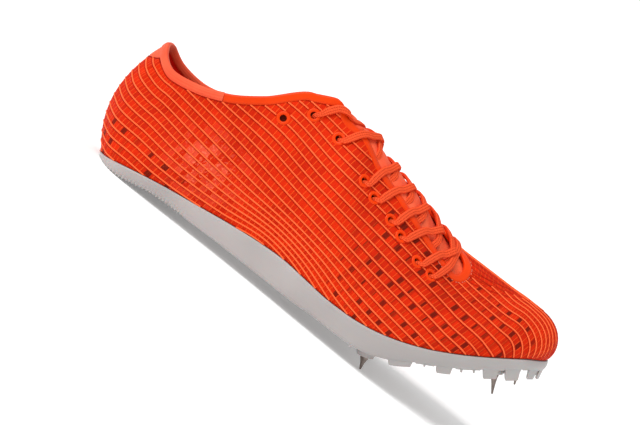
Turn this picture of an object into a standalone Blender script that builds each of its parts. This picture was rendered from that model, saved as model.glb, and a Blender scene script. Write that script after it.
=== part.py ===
# Sprint spike running shoe, right foot, low cut, laced, standing empty on heel and studs.
# Metres. +X points to the toe, +Y to the inner (medial) side, +Z up.
import math
from collections import namedtuple

import bmesh
import bpy
from mathutils import Matrix, Vector

# Driving sizes of the shoe
LENGTH = 0.282            # back of the heel to the tip of the plate
BALL_WIDTH = 0.090        # upper across the ball, at the joint with the sole
INSTEP_HEIGHT = 0.1045    # floor to the top of the eyestays
TOE_RISE = 0.064          # floor to the upper's lower edge at the toe tip

# Upper
WALL = 0.0012             # cloth of the upper with its film backing
BINDING_WIDTH = 0.0055    # folded binding round the back of the collar
BINDING_RAISE = 0.0006
FILM_WIDTH = 0.0046       # smooth film along the front collar and the throat
FILM_RAISE = 0.00035
THROAT_END = 13.0         # station where the throat closes
THROAT_ROUND = 0.45       # stations over which its end is rounded
BINDING_END = 3.85        # station where the heel binding meets the film
SEAT_GAP = 0.0003         # clearance between pieces that touch

# Eyelets, a row on each side of the throat
EYELET_RADIUS = 0.0016
EYELET_RING = 0.0036      # radius of the smooth ring round each hole
EYELET_INSET = 0.0140     # from the edge of the throat to a hole
SPARE_INSET = 0.0200      # the unlaced hole sits further from the collar

# Sole
SOLE_LIP = 0.0008         # plate stands proud of the upper all round
SOLE_DRAFT = 0.0014       # side wall leans in by this much at the bottom
WAIST_HOLLOW = 0.0016     # the underside is hollowed across the waist
WAIST_START = 3.0         # stations where the hollow starts and ends
WAIST_END = 10.5
LUG_WIDTH = 0.0085
LUG_DRAFT = 0.80          # a lug's tip as a share of its root

# Pins
PIN_LENGTH = 0.0085
PIN_RADIUS = 0.0023
PIN_TIP = 0.0005
BOSS_RADIUS = 0.0062
BOSS_TIP = 0.0047

# Insole and tongue
INSOLE = 0.0022
TONGUE = 0.0016
TONGUE_DEPTH = 0.0026     # from the outside of the upper down to the tongue
TONGUE_LAP = 0.0090       # how far the tongue reaches under each eyestay
TONGUE_START = 7.45       # station of its upper end
TONGUE_END = 13.50        # station of its toe end

# Laces
LACE_WIDTH = 0.0044
LACE_THICK = 0.0017
LACE_LIFT = FILM_RAISE + LACE_THICK / 2 + SEAT_GAP

STRAND_REACH = 0.74       # a strand's far end, as a share of the way to the next eyelets
BAR_REACH = 0.52          # the last crossing stops short of the bar
CORNER_LIFT = 1.5         # a lace stands this much further off where it turns over an edge
LACE_CROWN = 0.0022       # rise of the top laces over the collar end of the throat
KNOT_BACK = 0.16          # the knot lies this share of the pitch behind the third eyelets
KNOT_LENGTH = 0.0075
KNOT_WIDTH = 0.0065
KNOT_HEIGHT = 0.0056
END_RADIUS = 0.0008

# The tucked ends of the lace, from the knot towards the toe
OUTER_END = [
    (0.1350, -0.0028, 0.0955),
    (0.1402, -0.0042, 0.0934),
    (0.1442, -0.0043, 0.0922),
    (0.1483, -0.0043, 0.0911),
    (0.1523, -0.0043, 0.0899),
    (0.1563, -0.0043, 0.0887),
    (0.1603, -0.0043, 0.0875),
    (0.1660, -0.0043, 0.0857),
]
INNER_END = [
    (0.1350, -0.0004, 0.0961),
    (0.1401, 0.0006, 0.0944),
    (0.1441, 0.0005, 0.0933),
    (0.1481, 0.0004, 0.0922),
    (0.1521, 0.0003, 0.0912),
    (0.1562, 0.0002, 0.0901),
    (0.1602, 0.0001, 0.0891),
    (0.1660, -0.0001, 0.0874),
]

# Lower edge of the upper, from the back of the heel to the toe.
# x: share of the length, z: share of the toe rise, axis and half: shares of the ball width.
Foot = namedtuple("Foot", "x z axis half")
FOOT_LINE = [
    Foot(0.051, 0.039, 0.000, 0.000),
    Foot(0.066, 0.059, 0.000, 0.188),
    Foot(0.108, 0.116, 0.000, 0.298),
    Foot(0.182, 0.188, 0.000, 0.331),
    Foot(0.257, 0.239, -0.006, 0.328),
    Foot(0.328, 0.286, -0.017, 0.317),
    Foot(0.395, 0.323, -0.033, 0.317),
    Foot(0.452, 0.339, -0.047, 0.331),
    Foot(0.505, 0.327, -0.056, 0.356),
    Foot(0.555, 0.316, -0.050, 0.394),
    Foot(0.604, 0.325, -0.033, 0.439),
    Foot(0.650, 0.354, -0.018, 0.474),
    Foot(0.700, 0.412, 0.000, 0.496),
    Foot(0.750, 0.494, 0.010, 0.493),
    Foot(0.799, 0.595, 0.024, 0.469),
    Foot(0.849, 0.710, 0.044, 0.422),
    Foot(0.897, 0.828, 0.063, 0.356),
    Foot(0.946, 0.943, 0.078, 0.256),
    Foot(0.988, 1.000, 0.089, 0.000),
]

# Upper end of each section: the collar's edge at the back, the middle of the throat in front of
# it, and the crest of the toe box from there on. x: share of the length, y, gap and throat: shares
# of the ball width, z: share of the instep height. A section ends at gap, and the throat cuts it.
Top = namedtuple("Top", "x y z gap throat")
TOP_LINE = [
    Top(0.026, 0.000, 0.651, 0.000, 0.000),
    Top(0.035, 0.000, 0.635, 0.128, 0.128),
    Top(0.069, 0.000, 0.612, 0.211, 0.211),
    Top(0.122, 0.000, 0.639, 0.256, 0.256),
    Top(0.177, 0.000, 0.703, 0.256, 0.256),
    Top(0.232, 0.000, 0.813, 0.228, 0.228),
    Top(0.298, 0.000, 0.983, 0.183, 0.183),
    Top(0.355, 0.000, 1.020, 0.157, 0.161),
    Top(0.420, -0.011, 0.985, 0.000, 0.144),
    Top(0.484, -0.022, 0.923, 0.000, 0.139),
    Top(0.555, -0.028, 0.871, 0.000, 0.128),
    Top(0.626, -0.033, 0.813, 0.000, 0.117),
    Top(0.696, -0.039, 0.746, 0.000, 0.098),
    Top(0.753, -0.044, 0.708, 0.000, 0.078),
    Top(0.803, -0.011, 0.734, 0.000, 0.000),
    Top(0.849, 0.033, 0.769, 0.000, 0.000),
    Top(0.886, 0.067, 0.795, 0.000, 0.000),
    Top(0.914, 0.089, 0.799, 0.000, 0.000),
    Top(0.923, 0.089, 0.800, 0.000, 0.000),
]

# Fullness of each section. out: belly as a share of the half width, outer and inner side; rise:
# its height as a share of the section's. reach and drop: how the section leaves its upper end,
# as shares of the ball width and the instep height. low and high: push along the length.
Flank = namedtuple("Flank", "out_l out_m rise reach_l reach_m drop_l drop_m low high")
FLANKS = [
    Flank(1.10, 1.10, 0.30, 0.000, 0.000, 0.230, 0.230, -0.055, -0.045),
    Flank(1.10, 1.10, 0.30, 0.011, 0.011, 0.230, 0.230, -0.034, -0.028),
    Flank(1.10, 1.08, 0.30, 0.017, 0.017, 0.210, 0.210, -0.007, -0.004),
    Flank(1.08, 1.06, 0.32, 0.022, 0.022, 0.210, 0.210, 0.000, 0.000),
    Flank(1.08, 1.06, 0.34, 0.031, 0.031, 0.240, 0.240, 0.000, 0.000),
    Flank(1.10, 1.08, 0.38, 0.042, 0.042, 0.280, 0.280, 0.000, 0.000),
    Flank(1.12, 1.10, 0.42, 0.080, 0.080, 0.270, 0.270, 0.000, 0.000),
    Flank(1.12, 1.12, 0.48, 0.056, 0.056, 0.190, 0.190, 0.000, 0.000),
    Flank(1.10, 1.12, 0.52, 0.267, 0.267, 0.019, 0.000, 0.000, 0.000),
    Flank(1.06, 1.10, 0.50, 0.244, 0.278, 0.043, -0.033, 0.000, 0.000),
    Flank(1.04, 1.08, 0.50, 0.222, 0.300, 0.067, -0.081, 0.000, 0.000),
    Flank(1.04, 1.06, 0.48, 0.200, 0.333, 0.091, -0.139, 0.000, 0.000),
    Flank(1.04, 1.05, 0.46, 0.183, 0.367, 0.100, -0.190, 0.000, 0.000),
    Flank(1.03, 1.05, 0.44, 0.178, 0.385, 0.120, -0.262, 0.000, 0.000),
    Flank(1.03, 1.05, 0.44, 0.189, 0.356, 0.105, -0.195, 0.000, 0.000),
    Flank(1.04, 1.05, 0.46, 0.200, 0.300, 0.065, -0.100, 0.000, 0.000),
    Flank(1.05, 1.06, 0.48, 0.178, 0.222, 0.026, -0.028, 0.008, 0.007),
    Flank(1.08, 1.08, 0.50, 0.133, 0.156, 0.005, -0.004, 0.022, 0.022),
    Flank(1.10, 1.10, 0.40, 0.000, 0.000, 0.000, 0.000, 0.038, 0.050),
]

# Lower edge of the sole's side wall. x: share of the length, z: share of the toe rise.
Under = namedtuple("Under", "x z")
UNDER_LINE = [
    Under(0.056, 0.014),
    Under(0.069, 0.000),
    Under(0.101, 0.000),
    Under(0.182, 0.069),
    Under(0.257, 0.086),
    Under(0.328, 0.094),
    Under(0.395, 0.097),
    Under(0.455, 0.102),
    Under(0.509, 0.108),
    Under(0.558, 0.126),
    Under(0.608, 0.132),
    Under(0.657, 0.150),
    Under(0.714, 0.236),
    Under(0.763, 0.368),
    Under(0.812, 0.476),
    Under(0.863, 0.606),
    Under(0.909, 0.731),
    Under(0.958, 0.862),
    Under(0.997, 0.916),
]

# Lugs round the edge of the forefoot: station where each starts and ends, and how far it hangs
# below the plate, as a share of the toe rise.
Lug = namedtuple("Lug", "start end hang")
LUGS = [
    Lug(12.02, 12.88, 0.045),
    Lug(13.70, 14.27, 0.058),
    Lug(15.30, 15.86, 0.066),
    Lug(16.08, 16.72, 0.069),
    Lug(17.02, 17.38, 0.050),
]

# Pins: station, place across as a share of the half width (outer side negative), and the boss
# as a share of the pin length. A pin that stands is as long as it takes to reach the floor.
Pin = namedtuple("Pin", "name station across boss stands")
PINS = [
    Pin("rear_outer", 11.41, -0.66, 0.48, True),
    Pin("rear_inner", 11.59, 0.74, 0.48, True),
    Pin("front_outer", 15.85, -0.62, 0.50, False),
    Pin("front_inner", 16.90, 0.42, 0.50, False),
]

# Laced eyelets, top to bottom, as shares of the length from the back of the heel
EYELETS = [0.321, 0.394, 0.479, 0.515, 0.568, 0.603, 0.657, 0.695]
SPARE_EYELET = 0.283

LAST = len(FOOT_LINE) - 1


def column(table, field):
    return [getattr(row, field) for row in table]


def slope(values, i):
    # Tangent at a station that never overshoots its neighbours
    before = values[i] - values[i - 1]
    after = values[i + 1] - values[i]
    if before * after <= 0:
        return 0.0
    return 2 * before * after / (before + after)


def along(values, s, odd=False):
    # Smooth value at station s. The row is mirrored at both ends, so the heel and toe are round.
    mirror = -1 if odd else 1
    head = [mirror * values[2], mirror * values[1]]
    tail = [mirror * values[-2], mirror * values[-3]]
    row = head + list(values) + tail
    flip = 1
    if s < 0:
        s = -s
        flip = mirror
    if s > LAST:
        s = 2 * LAST - s
        flip = mirror
    i = min(int(s), LAST - 1)
    t = s - i
    k = i + 2
    a = row[k]
    b = row[k + 1]
    ma = slope(row, k)
    mb = slope(row, k + 1)
    t2 = t * t
    t3 = t2 * t
    value = (2 * t3 - 3 * t2 + 1) * a + (t3 - 2 * t2 + t) * ma
    value += (-2 * t3 + 3 * t2) * b + (t3 - t2) * mb
    return flip * value


COLUMNS = {}
for table_name, rows in (("foot", FOOT_LINE), ("top", TOP_LINE), ("flank", FLANKS), ("under", UNDER_LINE)):
    for field_name in rows[0]._fields:
        COLUMNS[table_name + "." + field_name] = column(rows, field_name)


def share(name, s, odd=False):
    return along(COLUMNS[name], s, odd)


def foot_point(side, s, inset=0.0):
    # Point of the upper's lower edge, moved inwards by inset
    x = share("foot.x", s) * LENGTH
    y = (share("foot.axis", s) + side * share("foot.half", s, True)) * BALL_WIDTH
    z = share("foot.z", s) * TOE_RISE
    if inset:
        out = outward(side, s)
        x -= out.x * inset
        y -= out.y * inset
    return Vector((x, y, z))


def bed_height(x):
    # Height of the bed that the foot stands on, at a place along the shoe
    low = 0.0
    high = float(LAST)
    for _ in range(24):
        middle = (low + high) / 2
        if share("foot.x", middle) * LENGTH < x:
            low = middle
        else:
            high = middle
    return share("foot.z", low) * TOE_RISE


def outward(side, s):
    # Level direction that points away from the foot at the lower edge
    step = 0.02
    ahead = foot_point(side, s + step)
    behind = foot_point(side, s - step)
    out = Vector((ahead.y - behind.y, behind.x - ahead.x, 0.0)) * -side
    return out.normalized()


def section(side, s):
    # The four control points of a section, from the lower edge to the top
    outer = side < 0
    low = foot_point(side, s)
    top_z = share("top.z", s) * INSTEP_HEIGHT
    height = top_z - low.z
    centre = share("top.y", s) * BALL_WIDTH
    gap = share("top.gap", s, True) * BALL_WIDTH
    top_x = share("top.x", s) * LENGTH
    axis = share("foot.axis", s) * BALL_WIDTH
    half = share("foot.half", s, True) * BALL_WIDTH
    out = share("flank.out_l" if outer else "flank.out_m", s)
    reach = share("flank.reach_l" if outer else "flank.reach_m", s, True) * BALL_WIDTH
    drop = share("flank.drop_l" if outer else "flank.drop_m", s) * INSTEP_HEIGHT
    rise = share("flank.rise", s)
    high_rise = min(1.0, 1 - drop / height)
    top = Vector((top_x, centre + side * gap, top_z))
    belly = Vector((
        low.x + (top_x - low.x) * rise + share("flank.low", s) * LENGTH,
        axis + side * half * out,
        low.z + height * rise))
    shoulder = Vector((
        low.x + (top_x - low.x) * high_rise + share("flank.high", s) * LENGTH,
        top.y + side * reach,
        top_z - drop))
    return low, belly, shoulder, top


def on_section(points, h):
    a, b, c, d = points
    k = 1 - h
    return a * (k * k * k) + b * (3 * k * k * h) + c * (3 * k * h * h) + d * (h * h * h)


def throat_half(s):
    # Half width of the opening at a station: the collar, then the throat with its round end
    if s >= THROAT_END:
        return 0.0
    half = share("top.throat", s, True) * BALL_WIDTH
    into = (s - THROAT_END + THROAT_ROUND) / THROAT_ROUND
    if into > 0:
        half *= math.sqrt(max(0.0, 1 - into * into))
    return half


def edge_height(side, s):
    # Where along its section the upper's own edge lies
    points = section(side, s)
    if share("top.gap", s, True) >= share("top.throat", s, True) - 1e-6 and s < THROAT_END:
        return 1.0
    wanted = throat_half(s)
    if wanted <= 0:
        return 1.0
    centre = share("top.y", s) * BALL_WIDTH
    low = 0.35
    high = 1.0
    for _ in range(30):
        middle = (low + high) / 2
        if side * (on_section(points, middle).y - centre) > wanted:
            low = middle
        else:
            high = middle
    return low


def heights_by_length(side, s, upto, count=48):
    # Running length of a section, from its upper end down, with the matching heights
    points = section(side, s)
    heights = [upto * (1 - i / count) for i in range(count + 1)]
    lengths = [0.0]
    spot = on_section(points, heights[0])
    for h in heights[1:]:
        following = on_section(points, h)
        lengths.append(lengths[-1] + (following - spot).length)
        spot = following
    return heights, lengths


def height_below(side, s, distance, upto=None):
    # The height whose point lies this far below the edge, measured along the section
    if upto is None:
        upto = edge_height(side, s)
    heights, lengths = heights_by_length(side, s, upto)
    distance = min(distance, lengths[-1])
    for i in range(1, len(lengths)):
        if lengths[i] >= distance:
            t = (distance - lengths[i - 1]) / (lengths[i] - lengths[i - 1])
            return heights[i - 1] + (heights[i] - heights[i - 1]) * t
    return 0.0


def skin(side, s, h):
    return on_section(section(side, s), h)


def skin_normal(side, s, h):
    # Outward direction of the outer surface
    ds = 0.03
    dh = 0.01
    h = min(max(h, dh), 1 - dh)
    along_s = skin(side, s + ds, h) - skin(side, s - ds, h)
    along_h = skin(side, s, h + dh) - skin(side, s, h - dh)
    return (along_s.cross(along_h) * -side).normalized()


def edge_raise(s, distance):
    # How far the binding and the film stand proud of the cloth near the upper's edge
    if s < BINDING_END:
        return BINDING_RAISE if distance <= BINDING_WIDTH + 1e-6 else 0.0
    if s < THROAT_END:
        return FILM_RAISE if distance <= FILM_WIDTH + 1e-6 else 0.0
    return 0.0


def station_for(side, inset, x):
    # The station whose point at this distance from the edge has the wanted place along the shoe
    low = 3.0
    high = THROAT_END - 0.05
    for _ in range(30):
        middle = (low + high) / 2
        spot = skin(side, middle, height_below(side, middle, inset))
        if spot.x < x:
            low = middle
        else:
            high = middle
    return low


def material(name, colour, roughness, metallic=0.0):
    made = bpy.data.materials.new(name)
    made.use_nodes = True
    shader = made.node_tree.nodes["Principled BSDF"]
    shader.inputs["Base Color"].default_value = (*colour, 1.0)
    shader.inputs["Roughness"].default_value = roughness
    shader.inputs["Metallic"].default_value = metallic
    return made


def add_object(name, mesh, surface, group):
    made = bpy.data.objects.new(name, mesh)
    mesh.materials.append(surface)
    group.objects.link(made)
    return made


def mesh_from(name, points, faces, merge=0.00002):
    shape = bmesh.new()
    corners = [shape.verts.new(point) for point in points]
    for face in faces:
        shape.faces.new([corners[i] for i in face])
    bmesh.ops.remove_doubles(shape, verts=shape.verts, dist=merge)
    bmesh.ops.dissolve_degenerate(shape, edges=shape.edges, dist=merge / 10)
    bmesh.ops.recalc_face_normals(shape, faces=shape.faces)
    made = bpy.data.meshes.new(name)
    shape.to_mesh(made)
    shape.free()
    return made


def grid_faces(rows, columns, start=0, turned=False):
    faces = []
    for i in range(rows - 1):
        for j in range(columns - 1):
            a = start + i * columns + j
            b = a + columns
            face = (a, b, b + 1, a + 1)
            faces.append(face[::-1] if turned else face)
    return faces


def shoe_stations(per_row, opening=False):
    # Stations along the shoe, closer together round the heel and the toe, and where asked also
    # at the top corner of the eyestays and at the throat's round end
    values = []
    for i in range(LAST):
        dense = i < 2 or i > LAST - 3 or (opening and 6 <= i < 8)
        steps = per_row + 2 if dense else per_row
        for j in range(steps):
            values.append(i + j / steps)
    values.append(float(LAST))
    if opening:
        for k in range(5):
            into = math.sin(math.pi / 2 * k / 4)
            values.append(THROAT_END - THROAT_ROUND + THROAT_ROUND * into)
        values.append(BINDING_END - 0.04)
    return sorted({round(value, 4) for value in values})


def upper_surface():
    # Outer surface of the upper: both sides, welded at the heel, the toe and along the crest
    points = []
    faces = []
    flank_rows = 8
    route = shoe_stations(2, opening=True)
    for side in (-1, 1):
        start = len(points)
        for s in route:
            edge = edge_height(side, s)
            heights, lengths = heights_by_length(side, s, edge)
            band = BINDING_WIDTH if s < BINDING_END else FILM_WIDTH
            full = lengths[-1]
            depths = [0.0, band, band + 0.0004]
            for i in range(1, flank_rows + 1):
                depths.append(band + 0.0004 + (full - band - 0.0004) * i / flank_rows)
            for depth in depths:
                h = height_below(side, s, depth, edge)
                if depth == depths[-1]:
                    h = 0.0
                spot = skin(side, s, h)
                proud = edge_raise(s, depth)
                if proud:
                    spot = spot + skin_normal(side, s, h) * proud
                points.append(spot)
        count = flank_rows + 3
        faces += grid_faces(len(route), count, start, turned=side > 0)
    return points, faces


def eyelet_spots():
    spots = []
    for side in (-1, 1):
        for number, place in enumerate([SPARE_EYELET] + EYELETS):
            inset = SPARE_INSET if number == 0 else EYELET_INSET
            s = station_for(side, inset, place * LENGTH)
            h = height_below(side, s, inset)
            spots.append((side, number, s, h))
    return spots


def make_cutter(name, mesh, group):
    made = bpy.data.objects.new(name, mesh)
    made.hide_render = True
    made.display_type = "WIRE"
    group.objects.link(made)
    return made


def cylinder_mesh(name, radius, tip, depth, sides):
    shape = bmesh.new()
    bmesh.ops.create_cone(shape, cap_ends=True, segments=sides, radius1=radius, radius2=tip, depth=depth)
    made = bpy.data.meshes.new(name)
    shape.to_mesh(made)
    shape.free()
    return made


def aim(spot, direction):
    # Matrix that stands a piece at a spot with its +Z along a direction
    turn = direction.to_track_quat("Z", "Y").to_matrix().to_4x4()
    return Matrix.Translation(spot) @ turn


def make_upper(group, cutters, surface):
    points, faces = upper_surface()
    mesh = mesh_from("upper", points, faces, merge=0.00006)
    made = add_object("upper", mesh, surface, group)
    shell = made.modifiers.new("wall", "SOLIDIFY")
    shell.thickness = WALL
    shell.offset = -1.0
    shell.use_rim = True
    shell.use_even_offset = False
    hole = cylinder_mesh("eyelet_hole", EYELET_RADIUS, EYELET_RADIUS, 0.008, 10)
    for side, number, s, h in eyelet_spots():
        name = "hole_%s_%d" % ("outer" if side < 0 else "inner", number)
        cutter = make_cutter(name, hole, cutters)
        cutter.matrix_world = aim(skin(side, s, h), skin_normal(side, s, h))
        cut = made.modifiers.new(name, "BOOLEAN")
        cut.object = cutter
        cut.solver = "EXACT"
    return made


def sole_section(side, s):
    # Half of a section of the sole, from the middle of its top round to the middle of its bottom
    seat = foot_point(side, s)
    out = outward(side, s)
    edge = seat + out * SOLE_LIP
    top = Vector((edge.x, edge.y, edge.z - SEAT_GAP))
    axis = share("foot.axis", s) * BALL_WIDTH
    base_z = share("under.z", s) * TOE_RISE
    base_x = share("under.x", s) * LENGTH
    base = Vector((base_x, edge.y - out.y * SOLE_DRAFT, base_z))
    base.x += (edge.x - seat.x) - out.x * SOLE_DRAFT
    middle = (top + base) / 2 + out * 0.0004
    waist = min(max((s - WAIST_START) / (WAIST_END - WAIST_START), 0.0), 1.0)
    hollow = WAIST_HOLLOW * math.sin(math.pi * waist) ** 2
    points = []
    for k in range(4):
        t = k / 3
        points.append(Vector((seat.x + (top.x - seat.x) * t, axis + (top.y - axis) * t, top.z)))
    points.append(middle)
    for k in range(4):
        t = 1 - k / 3
        lift = hollow * (1 - t * t)
        x = base_x + (base.x - base_x) * t
        points.append(Vector((x, axis + (base.y - axis) * t, base.z + lift)))
    return points


def sole_base(across, s):
    # Point on the underside and its downward direction. across: share of the half width
    side = -1 if across < 0 else 1
    row = sole_section(side, s)
    ahead = sole_section(side, s + 0.05)
    behind = sole_section(side, s - 0.05)
    centre = row[-1]
    rim = row[-4]
    spot = centre + (rim - centre) * abs(across)
    travel = ahead[-1] - behind[-1]
    travel.y = 0.0
    down = Vector((travel.z, 0.0, -travel.x)).normalized()
    return spot, down


def make_sole(group, cutters, surface):
    points = []
    faces = []
    route = shoe_stations(2)
    for side in (-1, 1):
        start = len(points)
        for s in route:
            points += sole_section(side, s)
        faces += grid_faces(len(route), 9, start, turned=side > 0)
    mesh = mesh_from("sole_plate", points, faces)
    made = add_object("sole_plate", mesh, surface, group)
    pieces = []
    for number, lug in enumerate(LUGS):
        for side in (-1, 1):
            pieces.append(lug_mesh("lug_%d_%d" % (number, side), side, lug))
    for pin in PINS:
        pieces.append(boss_mesh("boss_" + pin.name, pin))
    for piece in pieces:
        cutter = make_cutter(piece.name, piece, cutters)
        join = made.modifiers.new(piece.name, "BOOLEAN")
        join.operation = "UNION"
        join.object = cutter
        join.solver = "EXACT"
    return made


def lug_mesh(name, side, lug):
    # A block along the rim of the forefoot that narrows towards its tip
    hang = lug.hang * TOE_RISE
    points = []
    steps = 4
    sink = 0.0015
    for i in range(steps + 1):
        s = lug.start + (lug.end - lug.start) * i / steps
        row = sole_section(side, s)
        rim = row[-4]
        spot, down = sole_base(side * 1.0, s)
        inward = (row[-1] - rim).normalized()
        middle_s = (lug.start + lug.end) / 2
        middle, _ = sole_base(side * 1.0, middle_s)
        draw = (middle - rim) * (1 - LUG_DRAFT)
        root_out = rim - inward * 0.0002 - down * sink
        root_in = rim + inward * LUG_WIDTH - down * sink
        tip_out = rim + inward * 0.0008 + down * hang + draw
        tip_in = rim + inward * LUG_WIDTH * LUG_DRAFT + down * hang + draw
        points += [root_out, tip_out, tip_in, root_in]
    faces = []
    for i in range(steps):
        for j in range(4):
            a = i * 4 + j
            b = i * 4 + (j + 1) % 4
            faces.append((a, b, b + 4, a + 4))
    faces.append((0, 1, 2, 3))
    end = steps * 4
    faces.append((end + 3, end + 2, end + 1, end))
    return mesh_from(name, points, faces)


def boss_mesh(name, pin):
    spot, down = sole_base(pin.across, pin.station)
    height = pin.boss * PIN_LENGTH
    sink = 0.0012
    mesh = cylinder_mesh(name, BOSS_RADIUS, BOSS_TIP, height + sink, 20)
    mesh.transform(aim(spot + down * (height - sink) / 2, down))
    return mesh


def make_pins(group, surface):
    made = []
    for pin in PINS:
        spot, down = sole_base(pin.across, pin.station)
        foot = spot + down * (pin.boss * PIN_LENGTH + SEAT_GAP)
        length = PIN_LENGTH
        if pin.stands:
            length = (foot.z - PIN_TIP * abs(down.x)) / -down.z
        mesh = cylinder_mesh("pin_" + pin.name, PIN_RADIUS, PIN_TIP, length, 16)
        item = add_object("pin_" + pin.name, mesh, surface, group)
        item.matrix_world = aim(foot + down * length / 2, down)
        made.append(item)
    return made


def make_insole(group, surface):
    points = []
    faces = []
    route = shoe_stations(1)
    inset = WALL + 0.0007
    for side in (-1, 1):
        start = len(points)
        for s in route:
            rim = foot_point(side, s, inset)
            spine = (rim + foot_point(-side, s, inset)) / 2
            lift = Vector((0, 0, INSOLE))
            low = [spine, (spine + rim) / 2, rim]
            for spot in low:
                spot.z = bed_height(spot.x) + SEAT_GAP
            for spot in low:
                points.append(spot.copy())
            for spot in reversed(low):
                points.append(spot + lift)
        faces += grid_faces(len(route), 6, start, turned=side < 0)
    mesh = mesh_from("insole", points, faces)
    return add_object("insole", mesh, surface, group)


def tongue_row(s, depth):
    # A row across the tongue, from under one eyestay to under the other
    row = []
    count = 4
    for side in (-1, 1):
        opening = edge_height(side, s) if s < THROAT_END else 1.0
        outer = height_below(side, s, TONGUE_LAP, opening)
        part = []
        for k in range(count):
            h = outer + (1.0 - outer) * k / (count - 1)
            spot = skin(side, s, h) - skin_normal(side, s, h) * depth
            part.append(spot)
        row.append(part)
    left, right = row
    crest = (left[-1] + right[-1]) / 2
    return left[:-1] + [crest] + right[:-1][::-1]


def make_tongue(group, surface):
    steps = 14
    route = [TONGUE_START + (TONGUE_END - TONGUE_START) * i / steps for i in range(steps + 1)]
    points = []
    for s in route:
        upper_row = tongue_row(s, TONGUE_DEPTH)
        lower_row = tongue_row(s, TONGUE_DEPTH + TONGUE)
        points += upper_row + lower_row[::-1]
    size = len(points) // len(route)
    faces = []
    for i in range(len(route) - 1):
        for j in range(size):
            a = i * size + j
            b = i * size + (j + 1) % size
            faces.append((a, b, b + size, a + size))
    half = size // 2
    for start in (0, (len(route) - 1) * size):
        for j in range(half - 1):
            face = (start + j, start + j + 1, start + size - 2 - j, start + size - 1 - j)
            faces.append(face)
    mesh = mesh_from("tongue", points, faces)
    return add_object("tongue", mesh, surface, group)


def lace_spot(side, s, inset, lift):
    # Place and outward direction of a lace at this distance from the throat's edge. A negative
    # inset lies over the opening, as a share of the way from the edge to the middle.
    edge = edge_height(side, s)
    gap = share("top.gap", s, True)
    if inset > 0:
        h = height_below(side, s, inset, edge)
        up = skin_normal(side, s, h)
        return skin(side, s, h) + up * lift, up
    h = edge + (1 - edge) * -inset
    if gap <= 0:
        up = skin_normal(side, s, h)
        return skin(side, s, h) + up * lift, up
    # Above the last closed section the lace crowns from edge to edge
    here = skin(side, s, edge)
    far = skin(-side, s, edge_height(-side, s))
    up = (skin_normal(side, s, edge) + skin_normal(-side, s, edge) + Vector((0, 0, 1))).normalized()
    if inset == 0:
        up = (skin_normal(side, s, edge) + up).normalized()
        lift *= CORNER_LIFT
    crown = LACE_CROWN * (1 - (1 + inset) ** 2)
    return here.lerp(far, -inset / 2) + up * (lift + crown), up


def strand_route(side, start, finish, over):
    # A lace from its eyelet over the eyestay and the opening to the far edge, where it dips
    pitch = finish - start
    top = LACE_LIFT + (LACE_THICK * 0.85 if over else 0.0)
    low = LACE_LIFT - LACE_THICK * 0.7
    return [
        lace_spot(side, start, EYELET_INSET - 0.0004, LACE_LIFT),
        lace_spot(side, start + pitch * 0.12, EYELET_INSET * 0.62, LACE_LIFT),
        lace_spot(side, start + pitch * 0.23, EYELET_INSET * 0.28, LACE_LIFT),
        lace_spot(side, start + pitch * 0.32, 0.0, LACE_LIFT),
        lace_spot(side, start + pitch * 0.40, -0.25, LACE_LIFT),
        lace_spot(side, start + pitch * 0.60, -0.96, top),
        lace_spot(-side, start + pitch * 0.82, -0.60, (top + low) / 2),
        lace_spot(-side, finish, -0.38, low),
    ]


def bar_route(s):
    # The lowest lace lies straight across, from eyelet to eyelet
    route = [lace_spot(-1, s, EYELET_INSET - 0.0004, LACE_LIFT)]
    for inset in (EYELET_INSET * 0.5, 0.0, -0.6):
        route.append(lace_spot(-1, s, inset, LACE_LIFT))
    for inset in (-0.6, 0.0, EYELET_INSET * 0.5):
        route.append(lace_spot(1, s, inset, LACE_LIFT))
    route.append(lace_spot(1, s, EYELET_INSET - 0.0004, LACE_LIFT))
    return route


def strap_mesh(name, route, width, thick, sides=6):
    # A flat oval cord swept along a route of places and outward directions
    spots = smooth_route(route)
    points = []
    for i, (spot, up) in enumerate(spots):
        ahead = spots[min(i + 1, len(spots) - 1)][0]
        behind = spots[max(i - 1, 0)][0]
        travel = (ahead - behind).normalized()
        across = travel.cross(up).normalized()
        rise = across.cross(travel).normalized()
        for k in range(sides):
            turn = 2 * math.pi * (k + 0.5) / sides
            points.append(spot + across * (math.cos(turn) * width / 2) + rise * (math.sin(turn) * thick / 2))
    faces = []
    for i in range(len(spots) - 1):
        for k in range(sides):
            a = i * sides + k
            b = i * sides + (k + 1) % sides
            faces.append((a, b, b + sides, a + sides))
    faces.append(tuple(range(sides)))
    faces.append(tuple(range(len(points) - 1, len(points) - sides - 1, -1)))
    return mesh_from(name, points, faces)


def smooth_route(route, steps=2):
    # Catmull-Rom curve through the route's points
    spots = []
    last = len(route) - 1
    for i in range(last):
        a = route[max(i - 1, 0)][0]
        b = route[i][0]
        c = route[i + 1][0]
        d = route[min(i + 2, last)][0]
        for j in range(steps):
            t = j / steps
            spot = 0.5 * (2 * b + (c - a) * t + (2 * a - 5 * b + 4 * c - d) * t * t
                          + (3 * b - a - 3 * c + d) * t * t * t)
            up = route[i][1].lerp(route[i + 1][1], t).normalized()
            spots.append((spot, up))
    spots.append(route[-1])
    return spots


def lace_stations():
    return [station_for(-1, EYELET_INSET, place * LENGTH) for place in EYELETS]


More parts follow.
